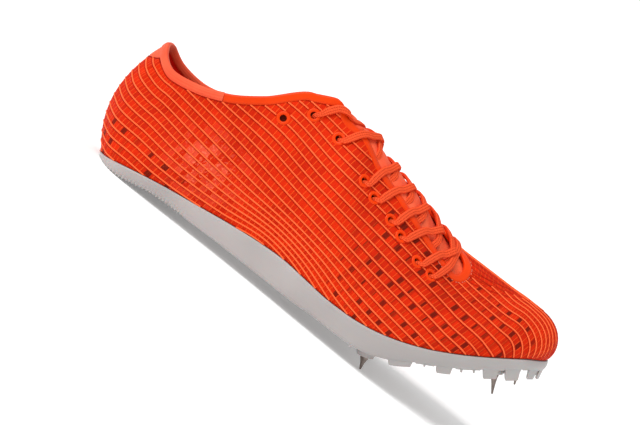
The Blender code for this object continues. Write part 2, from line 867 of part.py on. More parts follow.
def make_laces(group, cutters, surface):
    made = []
    rows = lace_stations()
    for k in range(len(rows) - 1):
        name = "lace_cross_%d" % (k + 1)
        reach = BAR_REACH if k == len(rows) - 2 else STRAND_REACH
        finish = rows[k] + (rows[k + 1] - rows[k]) * reach
        near = strap_mesh(name, strand_route(-1, rows[k], finish, True), LACE_WIDTH, LACE_THICK)
        far_route = strand_route(1, rows[k], finish, False)
        far = strap_mesh(name + "_under", far_route, LACE_WIDTH, LACE_THICK)
        item = add_object(name, near, surface, group)
        cutter = make_cutter(name + "_under", far, cutters)
        join = item.modifiers.new("crossing", "BOOLEAN")
        join.operation = "UNION"
        join.object = cutter
        join.solver = "EXACT"
        made.append(item)
    bar = strap_mesh("lace_bar", bar_route(rows[-1]), LACE_WIDTH, LACE_THICK)
    made.append(add_object("lace_bar", bar, surface, group))
    return made


def make_knot(group, surface):
    # Small knot that lies on the tongue between the second crossing and the third
    rows = lace_stations()
    s = rows[2] + KNOT_BACK * (rows[1] - rows[2])
    skin_spot, up = lace_spot(-1, s, -0.96, 0.0)
    spot = skin_spot + up * (KNOT_HEIGHT / 2 + SEAT_GAP - TONGUE_DEPTH)
    shape = bmesh.new()
    bmesh.ops.create_uvsphere(shape, u_segments=12, v_segments=7, radius=0.5)
    mesh = bpy.data.meshes.new("lace_knot")
    size = Matrix.Diagonal((KNOT_LENGTH, KNOT_WIDTH, KNOT_HEIGHT, 1.0))
    bmesh.ops.transform(shape, matrix=size, verts=shape.verts)
    shape.to_mesh(mesh)
    shape.free()
    across = up.cross(Vector((1, 0, 0))).normalized()
    travel = across.cross(up).normalized()
    turn = Matrix((travel, across, up)).transposed().to_4x4()
    knot = add_object("lace_knot", mesh, surface, group)
    knot.matrix_world = Matrix.Translation(spot) @ turn
    return [knot]


def make_lace_ends(group, surface):
    # The two tucked ends, each a round cord that lies on the tongue under the crossings
    for name, route in (("lace_end_outer", OUTER_END), ("lace_end_inner", INNER_END)):
        spots = [spot for spot, up in smooth_route([(Vector(place), Vector((0, 0, 1))) for place in route])]
        curve = bpy.data.curves.new(name, "CURVE")
        curve.dimensions = "3D"
        curve.bevel_depth = END_RADIUS
        curve.bevel_resolution = 2
        curve.use_fill_caps = True
        line = curve.splines.new("POLY")
        line.points.add(len(spots) - 1)
        for point, spot in zip(line.points, spots):
            point.co = (*spot, 1.0)
        add_object(name, curve, surface, group)


def stand_on_floor(items):
    # The frame's origin is under the middle of the shoe's own box
    bpy.context.view_layer.update()
    graph = bpy.context.evaluated_depsgraph_get()
    low = Vector((1e9, 1e9, 1e9))
    high = -low
    for item in items:
        shape = item.evaluated_get(graph)
        for corner in shape.data.vertices:
            spot = shape.matrix_world @ corner.co
            for axis in range(3):
                low[axis] = min(low[axis], spot[axis])
                high[axis] = max(high[axis], spot[axis])
    shift = Vector((-(low.x + high.x) / 2, -(low.y + high.y) / 2, -low.z))
    print("origin moved by", [round(value, 5) for value in shift])
    return shift


def main():
    for item in list(bpy.data.objects):
        bpy.data.objects.remove(item, do_unlink=True)
    shoe = bpy.data.collections.new("track_spike_shoe")
    cutters = bpy.data.collections.new("cutters")
    bpy.context.scene.collection.children.link(shoe)
    bpy.context.scene.collection.children.link(cutters)
    cloth = material("orange_cloth", (0.86, 0.09, 0.02), 0.6)
    tongue_cloth = material("tongue_cloth", (0.90, 0.22, 0.12), 0.7)
    plastic = material("white_plastic", (0.78, 0.77, 0.76), 0.35)
    steel = material("dark_steel", (0.25, 0.24, 0.23), 0.3, 1.0)
    lace_cloth = material("lace_cloth", (0.90, 0.16, 0.05), 0.7)
    foam = material("insole_foam", (0.70, 0.08, 0.03), 0.85)
    pieces = [
        make_upper(shoe, cutters, cloth),
        make_sole(shoe, cutters, plastic),
        make_insole(shoe, foam),
        make_tongue(shoe, tongue_cloth),
    ]
    pieces += make_pins(shoe, steel)
    pieces += make_laces(shoe, cutters, lace_cloth)
    shift = stand_on_floor(pieces)
    make_knot(shoe, lace_cloth)
    make_lace_ends(shoe, lace_cloth)
    for item in list(shoe.objects) + list(cutters.objects):
        item.matrix_world = Matrix.Translation(shift) @ item.matrix_world


main()
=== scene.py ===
# Sprint spike running shoe, right foot, standing empty on its heel and rear pins.
# Metres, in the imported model's frame: +X to the toe, +Y to the inner side, +Z up.
import math
from collections import namedtuple

import bpy
from mathutils import Matrix, Vector
from mathutils.bvhtree import BVHTree
from mathutils.kdtree import KDTree


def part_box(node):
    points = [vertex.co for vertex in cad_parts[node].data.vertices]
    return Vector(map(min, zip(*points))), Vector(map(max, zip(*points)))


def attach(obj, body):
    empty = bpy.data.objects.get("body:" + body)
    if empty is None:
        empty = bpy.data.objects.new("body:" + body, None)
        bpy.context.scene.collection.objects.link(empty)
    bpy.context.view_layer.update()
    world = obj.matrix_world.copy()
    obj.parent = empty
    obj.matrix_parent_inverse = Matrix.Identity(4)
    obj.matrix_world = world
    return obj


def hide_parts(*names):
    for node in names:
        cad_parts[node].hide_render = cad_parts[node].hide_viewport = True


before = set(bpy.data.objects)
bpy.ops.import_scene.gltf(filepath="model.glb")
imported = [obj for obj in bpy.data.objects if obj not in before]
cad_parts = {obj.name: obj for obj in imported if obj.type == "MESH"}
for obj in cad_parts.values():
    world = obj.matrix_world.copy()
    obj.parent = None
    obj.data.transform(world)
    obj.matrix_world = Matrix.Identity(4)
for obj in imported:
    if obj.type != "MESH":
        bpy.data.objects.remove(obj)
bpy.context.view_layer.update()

print("frame loaded:", len(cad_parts), "nodes")

# Sizes that several pieces share, the same as in the solids
shoe = dict(
    length=0.282, ballWidth=0.090, instepHeight=0.1045, toeRise=0.064,
    wall=0.0012, seatGap=0.0003,
    throatEnd=12.8, throatRound=0.45,      # stations
    bindingEnd=3.85,                       # station where the heel binding meets the film
    origin=(-0.14054, -0.00027, 0.0),      # from the back of the heel to the frame's origin
)
origin = Vector(shoe["origin"])

# Lower edge of the upper: shares of the length, the toe rise and the ball width
Foot = namedtuple("Foot", "x z axis half")
footLine = [
    Foot(0.051, 0.039, 0.000, 0.000),
    Foot(0.066, 0.059, 0.000, 0.188),
    Foot(0.108, 0.116, 0.000, 0.298),
    Foot(0.182, 0.188, 0.000, 0.331),
    Foot(0.257, 0.239, -0.006, 0.328),
    Foot(0.328, 0.286, -0.017, 0.317),
    Foot(0.395, 0.323, -0.033, 0.317),
    Foot(0.452, 0.339, -0.047, 0.331),
    Foot(0.505, 0.327, -0.056, 0.356),
    Foot(0.555, 0.316, -0.050, 0.394),
    Foot(0.604, 0.325, -0.033, 0.439),
    Foot(0.650, 0.354, -0.018, 0.474),
    Foot(0.700, 0.412, 0.000, 0.496),
    Foot(0.750, 0.494, 0.010, 0.493),
    Foot(0.799, 0.595, 0.024, 0.469),
    Foot(0.849, 0.710, 0.044, 0.422),
    Foot(0.897, 0.828, 0.063, 0.356),
    Foot(0.946, 0.943, 0.078, 0.256),
    Foot(0.988, 1.000, 0.089, 0.000),
]

# Upper end of each section: collar, then the middle of the throat, then the toe box
Top = namedtuple("Top", "x y z gap throat")
topLine = [
    Top(0.026, 0.000, 0.651, 0.000, 0.000),
    Top(0.035, 0.000, 0.635, 0.128, 0.128),
    Top(0.069, 0.000, 0.612, 0.211, 0.211),
    Top(0.122, 0.000, 0.639, 0.256, 0.256),
    Top(0.177, 0.000, 0.703, 0.256, 0.256),
    Top(0.232, 0.000, 0.813, 0.228, 0.228),
    Top(0.298, 0.000, 0.983, 0.183, 0.183),
    Top(0.355, 0.000, 1.020, 0.157, 0.161),
    Top(0.420, -0.011, 0.985, 0.000, 0.144),
    Top(0.484, -0.022, 0.923, 0.000, 0.139),
    Top(0.555, -0.028, 0.871, 0.000, 0.128),
    Top(0.626, -0.033, 0.813, 0.000, 0.117),
    Top(0.696, -0.039, 0.746, 0.000, 0.098),
    Top(0.753, -0.044, 0.708, 0.000, 0.078),
    Top(0.803, -0.011, 0.734, 0.000, 0.000),
    Top(0.849, 0.033, 0.769, 0.000, 0.000),
    Top(0.886, 0.067, 0.795, 0.000, 0.000),
    Top(0.914, 0.089, 0.799, 0.000, 0.000),
    Top(0.923, 0.089, 0.800, 0.000, 0.000),
]

# Fullness of each section, outer (l) and inner (m) side
Flank = namedtuple("Flank", "outL outM rise reachL reachM dropL dropM low high")
flanks = [
    Flank(1.10, 1.10, 0.30, 0.000, 0.000, 0.230, 0.230, -0.055, -0.045),
    Flank(1.10, 1.10, 0.30, 0.011, 0.011, 0.230, 0.230, -0.034, -0.028),
    Flank(1.10, 1.08, 0.30, 0.017, 0.017, 0.210, 0.210, -0.007, -0.004),
    Flank(1.08, 1.06, 0.32, 0.022, 0.022, 0.210, 0.210, 0.000, 0.000),
    Flank(1.08, 1.06, 0.34, 0.031, 0.031, 0.240, 0.240, 0.000, 0.000),
    Flank(1.10, 1.08, 0.38, 0.042, 0.042, 0.280, 0.280, 0.000, 0.000),
    Flank(1.12, 1.10, 0.42, 0.080, 0.080, 0.270, 0.270, 0.000, 0.000),
    Flank(1.12, 1.12, 0.48, 0.056, 0.056, 0.190, 0.190, 0.000, 0.000),
    Flank(1.10, 1.12, 0.52, 0.267, 0.267, 0.019, 0.000, 0.000, 0.000),
    Flank(1.06, 1.10, 0.50, 0.244, 0.278, 0.043, -0.033, 0.000, 0.000),
    Flank(1.04, 1.08, 0.50, 0.222, 0.300, 0.067, -0.081, 0.000, 0.000),
    Flank(1.04, 1.06, 0.48, 0.200, 0.333, 0.091, -0.139, 0.000, 0.000),
    Flank(1.04, 1.05, 0.46, 0.183, 0.367, 0.100, -0.190, 0.000, 0.000),
    Flank(1.03, 1.05, 0.44, 0.178, 0.385, 0.120, -0.262, 0.000, 0.000),
    Flank(1.03, 1.05, 0.44, 0.189, 0.356, 0.105, -0.195, 0.000, 0.000),
    Flank(1.04, 1.05, 0.46, 0.200, 0.300, 0.065, -0.100, 0.000, 0.000),
    Flank(1.05, 1.06, 0.48, 0.178, 0.222, 0.026, -0.028, 0.008, 0.007),
    Flank(1.08, 1.08, 0.50, 0.133, 0.156, 0.005, -0.004, 0.022, 0.022),
    Flank(1.10, 1.10, 0.40, 0.000, 0.000, 0.000, 0.000, 0.038, 0.050),
]

# Lower edge of the sole's side wall
Under = namedtuple("Under", "x z")
underLine = [
    Under(0.056, 0.014),
    Under(0.069, 0.000),
    Under(0.101, 0.000),
    Under(0.182, 0.069),
    Under(0.257, 0.086),
    Under(0.328, 0.094),
    Under(0.395, 0.097),
    Under(0.455, 0.102),
    Under(0.509, 0.108),
    Under(0.558, 0.126),
    Under(0.608, 0.132),
    Under(0.657, 0.150),
    Under(0.714, 0.236),
    Under(0.763, 0.368),
    Under(0.812, 0.476),
    Under(0.863, 0.606),
    Under(0.909, 0.731),
    Under(0.958, 0.862),
    Under(0.997, 0.916),
]

# How the worn-in collar sits off the drawn one, up or down in metres, outer and inner side
Rim = namedtuple("Rim", "outer inner")
rimLine = [
    Rim(0.0028, 0.0028),
    Rim(0.0005, 0.0042),
    Rim(-0.0020, 0.0014),
    Rim(-0.0020, -0.0036),
    Rim(-0.0022, -0.0064),
    Rim(-0.0030, -0.0072),
    Rim(-0.0036, -0.0070),
    Rim(-0.0008, -0.0040),
    Rim(0.0010, 0.0002),
] + [Rim(0.0, 0.0)] * 10

# Which raised rib lies at the rim, a quarter, half and three quarters of the way down, and at the
# sole; then the inner side's own count at the rim and how far it runs ahead half way down
Rib = namedtuple("Rib", "rim high middle low sole inner bend")
ribLine = [
    Rib(9.30, 12.80, 16.25, 19.70, 23.20, 9.30, 0.00),
    Rib(9.15, 12.45, 15.80, 19.10, 22.40, 9.15, 0.00),
    Rib(9.50, 12.50, 15.60, 18.65, 21.70, 9.50, 0.00),
    Rib(8.80, 11.50, 14.40, 17.50, 20.80, 8.80, -0.40),
    Rib(6.90, 9.80, 12.90, 16.50, 20.40, 6.90, -0.70),
    Rib(4.20, 7.30, 10.90, 15.00, 20.10, 4.20, -1.20),
    Rib(0.60, 4.20, 8.00, 13.10, 20.30, 0.60, -2.40),
    Rib(0.00, 3.20, 6.70, 12.00, 19.50, 0.00, -2.90),
    Rib(-0.60, 2.40, 5.60, 11.00, 18.40, -1.50, -2.60),
    Rib(-0.30, 2.70, 5.90, 10.80, 17.20, -3.20, -1.80),
    Rib(0.40, 3.40, 6.30, 10.50, 16.00, -5.20, -1.00),
    Rib(0.90, 3.50, 6.40, 10.10, 14.70, -7.30, -0.40),
    Rib(1.00, 3.70, 6.40, 9.60, 13.00, -9.40, 0.00),
    Rib(0.90, 3.70, 6.30, 8.80, 11.40, -10.90, 0.40),
    Rib(0.00, 2.50, 5.00, 7.20, 9.50, -10.00, 0.40),
    Rib(-2.10, 0.45, 2.90, 5.15, 7.20, -7.90, 0.40),
    Rib(-4.00, -1.15, 1.30, 3.35, 5.00, -6.00, 0.80),
    Rib(-5.00, -3.10, -1.50, -0.10, 1.00, -5.00, 0.50),
    Rib(-5.00, -5.00, -5.00, -5.00, -5.00, -5.00, 0.00),
]
foldCount = -10      # the inner side counts on from the outer one over the crest

last = len(footLine) - 1
columns = {}
for tableName, rows in (("foot", footLine), ("top", topLine), ("flank", flanks),
                        ("under", underLine), ("rim", rimLine), ("rib", ribLine)):
    for field in rows[0]._fields:
        columns[tableName + "." + field] = [getattr(row, field) for row in rows]


def slope(values, i):
    before = values[i] - values[i - 1]
    after = values[i + 1] - values[i]
    if before * after <= 0:
        return 0.0
    return 2 * before * after / (before + after)


def between(a, b, c, d, t):
    # Catmull-Rom curve through four values or spots, at t of the way from b to c
    return 0.5 * (2 * b + (c - a) * t + (2 * a - 5 * b + 4 * c - d) * t * t
                  + (3 * b - a - 3 * c + d) * t * t * t)


def bend(first, second, leaving, arriving, t):
    # Cubic from the first value to the second, with its slopes at both
    t2 = t * t
    t3 = t2 * t
    value = (2 * t3 - 3 * t2 + 1) * first + (t3 - 2 * t2 + t) * leaving
    value += (3 * t2 - 2 * t3) * second + (t3 - t2) * arriving
    return value


def halve(low, high, below, steps=30):
    # Where a test turns from true to false, found by halving
    for _ in range(steps):
        middle = (low + high) / 2
        if below(middle):
            low = middle
        else:
            high = middle
    return low


def share(name, s, odd=False):
    # Smooth value of a column at station s, mirrored at the heel and the toe
    values = columns[name]
    mirror = -1 if odd else 1
    row = [mirror * values[2], mirror * values[1]] + values + [mirror * values[-2], mirror * values[-3]]
    flip = 1
    if s < 0:
        s = -s
        flip = mirror
    if s > last:
        s = 2 * last - s
        flip = mirror
    i = min(int(s), last - 1)
    k = i + 2
    return flip * bend(row[k], row[k + 1], slope(row, k), slope(row, k + 1), s - i)


def footPoint(side, s, inset=0.0):
    x = share("foot.x", s) * shoe["length"]
    y = (share("foot.axis", s) + side * share("foot.half", s, True)) * shoe["ballWidth"]
    z = share("foot.z", s) * shoe["toeRise"]
    spot = Vector((x, y, z))
    if inset:
        spot -= outward(side, s) * inset
    return spot


def outward(side, s):
    step = 0.02
    ahead = footPoint(side, s + step)
    behind = footPoint(side, s - step)
    return (Vector((ahead.y - behind.y, behind.x - ahead.x, 0.0)) * -side).normalized()


def bedHeight(x):
    # Height of the bed that the foot stands on
    station = halve(0.0, float(last), lambda s: share("foot.x", s) * shoe["length"] < x, 24)
    return share("foot.z", station) * shoe["toeRise"]


sections = {}


def section(side, s):
    # The four control points of a section, from the sole to its upper end
    key = (side, round(s, 5))
    if key in sections:
        return sections[key]
    letter = "L" if side < 0 else "M"
    width = shoe["ballWidth"]
    low = footPoint(side, s)
    topZ = share("top.z", s) * shoe["instepHeight"] + share("rim.outer" if side < 0 else "rim.inner", s)
    height = topZ - low.z
    topX = share("top.x", s) * shoe["length"]
    topY = (share("top.y", s) + side * share("top.gap", s, True)) * width
    rise = share("flank.rise", s)
    drop = share("flank.drop" + letter, s) * shoe["instepHeight"]
    highRise = min(1.0, 1 - drop / height)
    belly = Vector((
        low.x + (topX - low.x) * rise + share("flank.low", s) * shoe["length"],
        (share("foot.axis", s) + side * share("foot.half", s, True) * share("flank.out" + letter, s)) * width,
        low.z + height * rise))
    shoulder = Vector((
        low.x + (topX - low.x) * highRise + share("flank.high", s) * shoe["length"],
        topY + side * share("flank.reach" + letter, s, True) * width,
        topZ - drop))
    sections[key] = (low, belly, shoulder, Vector((topX, topY, topZ)))
    return sections[key]


def onSection(points, h):
    a, b, c, d = points
    k = 1 - h
    return a * (k * k * k) + b * (3 * k * k * h) + c * (3 * k * h * h) + d * (h * h * h)


def skin(side, s, h):
    return onSection(section(side, s), h)


def skinNormal(side, s, h):
    ds = 0.03
    dh = 0.01
    h = min(max(h, dh), 1 - dh)
    alongS = skin(side, s + ds, h) - skin(side, s - ds, h)
    alongH = skin(side, s, h + dh) - skin(side, s, h - dh)
    return (alongS.cross(alongH) * -side).normalized()


def throatHalf(s):
    if s >= shoe["throatEnd"]:
        return 0.0
    half = share("top.throat", s, True) * shoe["ballWidth"]
    into = (s - shoe["throatEnd"] + shoe["throatRound"]) / shoe["throatRound"]
    if into > 0:
        half *= math.sqrt(max(0.0, 1 - into * into))
    return half


def edgeHeight(side, s):
    # Where along its section the upper's own edge lies
    if s >= shoe["throatEnd"]:
        return 1.0
    if share("top.gap", s, True) >= share("top.throat", s, True) - 1e-6:
        return 1.0
    wanted = throatHalf(s)
    if wanted <= 0:
        return 1.0
    points = section(side, s)
    centre = share("top.y", s) * shoe["ballWidth"]
    return halve(0.35, 1.0, lambda h: side * (onSection(points, h).y - centre) > wanted)


runs = {}


def running(side, s, count=72):
    # Heights of a section from its upper end down, with the length run so far
    key = (side, round(s, 5))
    if key in runs:
        return runs[key]
    points = section(side, s)
    heights = [1 - i / count for i in range(count + 1)]
    lengths = [0.0]
    spot = onSection(points, 1.0)
    for h in heights[1:]:
        following = onSection(points, h)
        lengths.append(lengths[-1] + (following - spot).length)
        spot = following
    runs[key] = (heights, lengths)
    return runs[key]


def lookUp(keys, values, key):
    # Straight reading between the rows of a rising list
    if key <= keys[0]:
        return values[0]
    if key >= keys[-1]:
        return values[-1]
    low = 0
    high = len(keys) - 1
    while high - low > 1:
        middle = (low + high) // 2
        if keys[middle] <= key:
            low = middle
        else:
            high = middle
    t = (key - keys[low]) / (keys[high] - keys[low])
    return values[low] + (values[high] - values[low]) * t


def runAt(side, s, h):
    heights, lengths = running(side, s)
    return lookUp([1 - value for value in heights], lengths, 1 - h)


def heightAt(side, s, run):
    heights, lengths = running(side, s)
    return lookUp(lengths, heights, run)


def heightBelow(side, s, distance):
    return heightAt(side, s, runAt(side, s, edgeHeight(side, s)) + distance)


def stationFor(side, inset, x):
    # Station of a place that lies an inset below the opening's edge, x from the heel
    return halve(3.0, shoe["throatEnd"] - 0.05,
                 lambda s: skin(side, s, heightBelow(side, s, inset)).x < x)


def smoothStep(low, high, value):
    t = min(max((value - low) / (high - low), 0.0), 1.0)
    return t * t * (3 - 2 * t)


# Shader maths

class Wire:
    # One output of a node, so that sums of wires read as plain sums
    def __init__(self, finish, socket):
        self.finish = finish
        self.socket = socket

    def maths(self, operation, first, second=None):
        values = [first] if second is None else [first, second]
        return self.finish.node("ShaderNodeMath", {"operation": operation}, values)

    def __add__(self, other):
        return self.maths("ADD", self, other)

    __radd__ = __add__

    def __sub__(self, other):
        return self.maths("SUBTRACT", self, other)

    def __rsub__(self, other):
        return self.maths("SUBTRACT", other, self)

    def __mul__(self, other):
        return self.maths("MULTIPLY", self, other)

    __rmul__ = __mul__

    def __truediv__(self, other):
        return self.maths("DIVIDE", self, other)

    def __rtruediv__(self, other):
        return self.maths("DIVIDE", other, self)

    def __gt__(self, other):
        return self.maths("GREATER_THAN", self, other)

    def __lt__(self, other):
        return self.maths("LESS_THAN", self, other)

    def whole(self):
        return self.maths("FLOOR", self)

    def part(self):
        return self.maths("FRACT", self)

    def wave(self):
        return self.maths("SINE", self)

    def size(self):
        return self.maths("ABSOLUTE", self)

    def smooth(self, low, high):
        settings = {"interpolation_type": "SMOOTHSTEP"}
        values = {"Value": self, "From Min": low, "From Max": high}
        return self.finish.node("ShaderNodeMapRange", settings, values)


class Finish:
    # A material and its shader, or the background and its own
    def __init__(self, name, world=None):
        self.material = world or bpy.data.materials.new(name)
        self.material.use_nodes = True
        self.tree = self.material.node_tree
        self.shader = self.tree.nodes["Background" if world else "Principled BSDF"]

    def node(self, kind, settings=None, values=None, output=0):
        made = self.tree.nodes.new(kind)
        for name, value in (settings or {}).items():
            setattr(made, name, value)
        pairs = values.items() if isinstance(values, dict) else enumerate(values or [])
        for name, value in pairs:
            self.plug(made.inputs[name], value)
        return Wire(self, made.outputs[output])

    def plug(self, socket, value):
        if isinstance(value, Wire):
            self.tree.links.new(value.socket, socket)
        elif isinstance(value, tuple) and len(value) == 3 and socket.type == "RGBA":
            socket.default_value = (*value, 1.0)
        else:
            socket.default_value = value

    def set(self, **inputs):
        names = dict(colour="Base Color", roughness="Roughness", metallic="Metallic", coat="Coat Weight",
                     coatRoughness="Coat Roughness", sheen="Sheen Weight", sheenRoughness="Sheen Roughness",
                     sheenTint="Sheen Tint", specular="Specular IOR Level", subsurface="Subsurface Weight",
                     subsurfaceScale="Subsurface Scale", normal="Normal")
        for name, value in inputs.items():
            self.plug(self.shader.inputs[names[name]], value)

    def reading(self, name, axis):
        made = self.node("ShaderNodeAttribute", {"attribute_name": name}, output="Vector")
        return self.node("ShaderNodeSeparateXYZ", None, [made], output=axis)

    def place(self):
        return self.node("ShaderNodeTexCoord", None, None, output="Object")

    def noise(self, place, scale, detail=2.0):
        return self.node("ShaderNodeTexNoise", None, {"Vector": place, "Scale": scale, "Detail": detail})

    def cells(self, scale):
        return self.node("ShaderNodeTexVoronoi", None, {"Vector": self.place(), "Scale": scale})

    def blend(self, amount, first, second):
        return self.node("ShaderNodeMix", {"data_type": "RGBA"}, {0: amount, 6: first, 7: second}, output=2)

    def bump(self, height, depth, strength=1.0):
        values = {"Height": height, "Distance": depth, "Strength": strength}
        self.set(normal=self.node("ShaderNodeBump", None, values))


# Camera at the photograph's angle, rolled as the photograph is

cameraPlan = dict(
    target=(-0.0140, -0.025, 0.0523),
    look=(0.0761, 0.9925, -0.0952),
    up=(-0.6247, 0.0, 0.7809),
    distance=1.0, lens=105.7,
)


def addThing(name, data):
    made = bpy.data.objects.new(name, data)
    bpy.context.scene.collection.objects.link(made)
    return made


def makeCamera():
    look = Vector(cameraPlan["look"]).normalized()
    up = Vector(cameraPlan["up"])
    up = (up - look * up.dot(look)).normalized()
    right = look.cross(up)
    data = bpy.data.cameras.new("camera")
    data.lens = cameraPlan["lens"]
    data.sensor_width = 36.0
    data.clip_start = 0.05
    data.clip_end = 50.0
    camera = addThing("camera", data)
    camera.rotation_mode = "QUATERNION"
    camera.rotation_quaternion = Matrix((right, up, -look)).transposed().to_quaternion()
    camera.location = Vector(cameraPlan["target"]) - look * cameraPlan["distance"]
    bpy.context.scene.camera = camera


makeCamera()
print("camera placed")


def addPiece(name, points, faces, finishes, faceFinish=None, readings=None, smooth=True):
    # A mesh object in the shoe's frame that rides on the shoe
    mesh = bpy.data.meshes.new(name)
    mesh.from_pydata([point + origin for point in points], [], faces)
    for finish in finishes:
        mesh.materials.append(finish.material)
    if faceFinish:
        mesh.polygons.foreach_set("material_index", faceFinish)
    for reading, values in (readings or {}).items():
        layer = mesh.attributes.new(reading, "FLOAT_VECTOR", "POINT")
        flat = [number for value in values for number in value]
        layer.data.foreach_set("vector", flat)
    if smooth:
        mesh.polygons.foreach_set("use_smooth", [True] * len(mesh.polygons))
    mesh.update()
    made = addThing(name, mesh)
    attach(made, "root")
    return made


def weldSeam(made):
    # The two sides of the shoe share their points at the heel, the toe and the middle
    weld = made.modifiers.new("seam", "WELD")
    weld.merge_threshold = 0.00002


def splitEdges(made, angle):
    split = made.modifiers.new("edges", "EDGE_SPLIT")
    split.split_angle = math.radians(angle)


def gridFaces(rows, columnCount, start=0, turned=False, closed=False):
    faces = []
    for i in range(rows - 1):
        for j in range(columnCount if closed else columnCount - 1):
            a = start + i * columnCount + j
            b = start + i * columnCount + (j + 1) % columnCount
            face = (a, a + columnCount, b + columnCount, b)
            faces.append(face[::-1] if turned else face)
    return faces


def smoothRoute(route, steps):
    # Smooth curve through rows of (spot, up, squeeze)
    made = []
    end = len(route) - 1
    for i in range(end):
        a = route[max(i - 1, 0)][0]
        b, upB, squeezeB = route[i]
        c, upC, squeezeC = route[i + 1]
        d = route[min(i + 2, end)][0]
        for j in range(steps):
            t = j / steps
            spot = between(a, b, c, d, t)
            made.append((spot, upB.lerp(upC, t).normalized(), squeezeB + (squeezeC - squeezeB) * t))
    made.append(route[-1])
    return made


# Laces: flat woven band with three rows of stitches

lacePlan = dict(
    width=0.0044, thick=0.0019, sides=24, steps=7, ridge=0.16, flatness=0.75,
    endWidth=0.0032, endThick=0.0013,
    stitch=0.00125,                          # length of one stitch
    # light is a painted highlight on the crowns of the rows; mid and dark are painted shade in the grooves
    # and stitch gaps, and mid also tints the fibres at random
    light=(0.95, 0.105, 0.030), mid=(0.82, 0.048, 0.007), dark=(0.36, 0.006, 0.001),
)


def laceFinish(name):
    made = Finish(name)
    across = made.reading("thread", 0)
    run = made.reading("thread", 1)
    row = across * 3
    side = (row.part() - 0.5).size() * 2             # 0 in the middle of a row, 1 between rows
    stitch = (run / (lacePlan["stitch"] * 1000) + side * 0.55).part()
    fold = (stitch - 0.5).size() * 2
    groove = side.smooth(0.62, 1.0)
    gap = fold.smooth(0.55, 1.0)
    height = 1 - groove * 0.8 - gap * 0.55
    fibre = made.noise(made.place(), 2600.0)
    # Painted light and shade: the crowns of the rows lighter, the grooves and the gaps between stitches
    # darker, darkest where the two cross
    colour = made.blend(gap * 0.6 + groove * 0.7, lacePlan["light"], lacePlan["mid"])
    colour = made.blend(groove * gap * 0.75, colour, lacePlan["dark"])
    colour = made.blend(fibre.smooth(0.35, 0.8) * 0.25, colour, lacePlan["mid"])
    made.set(colour=colour, roughness=0.78, specular=0.1)
    made.bump(height + fibre * 0.25, 0.00035)
    return made


def strapPiece(name, routes, width, thick):
    # Flat oval bands swept along their routes, with lengthwise ridges, as one piece
    points = []
    faces = []
    thread = []
    sides = lacePlan["sides"]
    for route in routes:
        spots = smoothRoute(route, lacePlan["steps"])
        start = len(points)
        run = 0.0
        for i, (spot, up, squeeze) in enumerate(spots):
            ahead = spots[min(i + 1, len(spots) - 1)][0]
            behind = spots[max(i - 1, 0)][0]
            travel = (ahead - behind).normalized()
            across = travel.cross(up).normalized()
            rise = across.cross(travel).normalized()
            if i:
                run += (spot - spots[i - 1][0]).length * 1000
            for k in range(sides):
                turn = 2 * math.pi * (k + 0.5) / sides
                wide = math.copysign(abs(math.cos(turn)) ** lacePlan["flatness"], math.cos(turn))
                ridge = 1 + lacePlan["ridge"] * math.cos(3 * math.pi * (wide + 1) - math.pi)
                points.append(spot + across * (wide * width * squeeze / 2)
                              + rise * (math.sin(turn) * thick / 2 * ridge))
                thread.append(((wide + 1) / 2, run, math.sin(turn)))
        faces += gridFaces(len(spots), sides, start, closed=True)
        faces.append(tuple(range(start, start + sides)))
        faces.append(tuple(reversed(range(len(points) - sides, len(points)))))
    return addPiece(name, points, faces, [laceCloth], readings={"thread": thread})


# The tucked ends of the lace, the same points as in the solids
outerEnd = [
    (0.1350, -0.0028, 0.0955),
    (0.1402, -0.0042, 0.0934),
    (0.1442, -0.0043, 0.0922),
    (0.1483, -0.0043, 0.0911),
    (0.1523, -0.0043, 0.0899),
    (0.1563, -0.0043, 0.0887),
    (0.1603, -0.0043, 0.0875),
    (0.1660, -0.0043, 0.0857),
]
innerEnd = [
    (0.1350, -0.0004, 0.0961),
    (0.1401, 0.0006, 0.0944),
    (0.1441, 0.0005, 0.0933),
    (0.1481, 0.0004, 0.0922),
    (0.1521, 0.0003, 0.0912),
    (0.1562, 0.0002, 0.0901),
    (0.1602, 0.0001, 0.0891),
    (0.1660, -0.0001, 0.0874),
]

knotPlan = dict(thread=0.0011, wide=1.5, flat=0.85, steps=96, sides=12)


def makeKnot():
    # A small overhand knot, inside the box of its solid
    low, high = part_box("lace_knot")
    middle = (low + high) / 2 - origin
    size = (high - low) / 2
    points = []
    reading = []
    steps = knotPlan["steps"]
    thread = knotPlan["thread"]

    def onKnot(t):
        return Vector((
            (math.sin(t) + 2 * math.sin(2 * t)) / 3 * (size.x - thread),
            (math.cos(t) - 2 * math.cos(2 * t)) / 3 * (size.y - thread),
            -math.sin(3 * t) * (size.z - thread)))

    run = 0.0
    for i in range(steps + 1):
        t = 2 * math.pi * i / steps
        spot = onKnot(t)
        travel = (onKnot(t + 0.02) - onKnot(t - 0.02)).normalized()
        side = travel.cross(spot if spot.length > 1e-5 else Vector((0, 0, 1))).normalized()
        rise = side.cross(travel).normalized()
        run += (onKnot(t + 2 * math.pi / steps) - spot).length * 1000
        for k in range(knotPlan["sides"]):
            turn = 2 * math.pi * k / knotPlan["sides"]
            points.append(middle + spot + side * (math.cos(turn) * thread * knotPlan["wide"])
                          + rise * (math.sin(turn) * thread * knotPlan["flat"]))
            reading.append(((math.cos(turn) + 1) / 2, run, math.sin(turn)))
    faces = gridFaces(steps + 1, knotPlan["sides"], closed=True)
    made = addPiece("laceKnot", points, faces, [laceCloth], readings={"thread": reading})
    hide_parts("lace_knot")
    return made


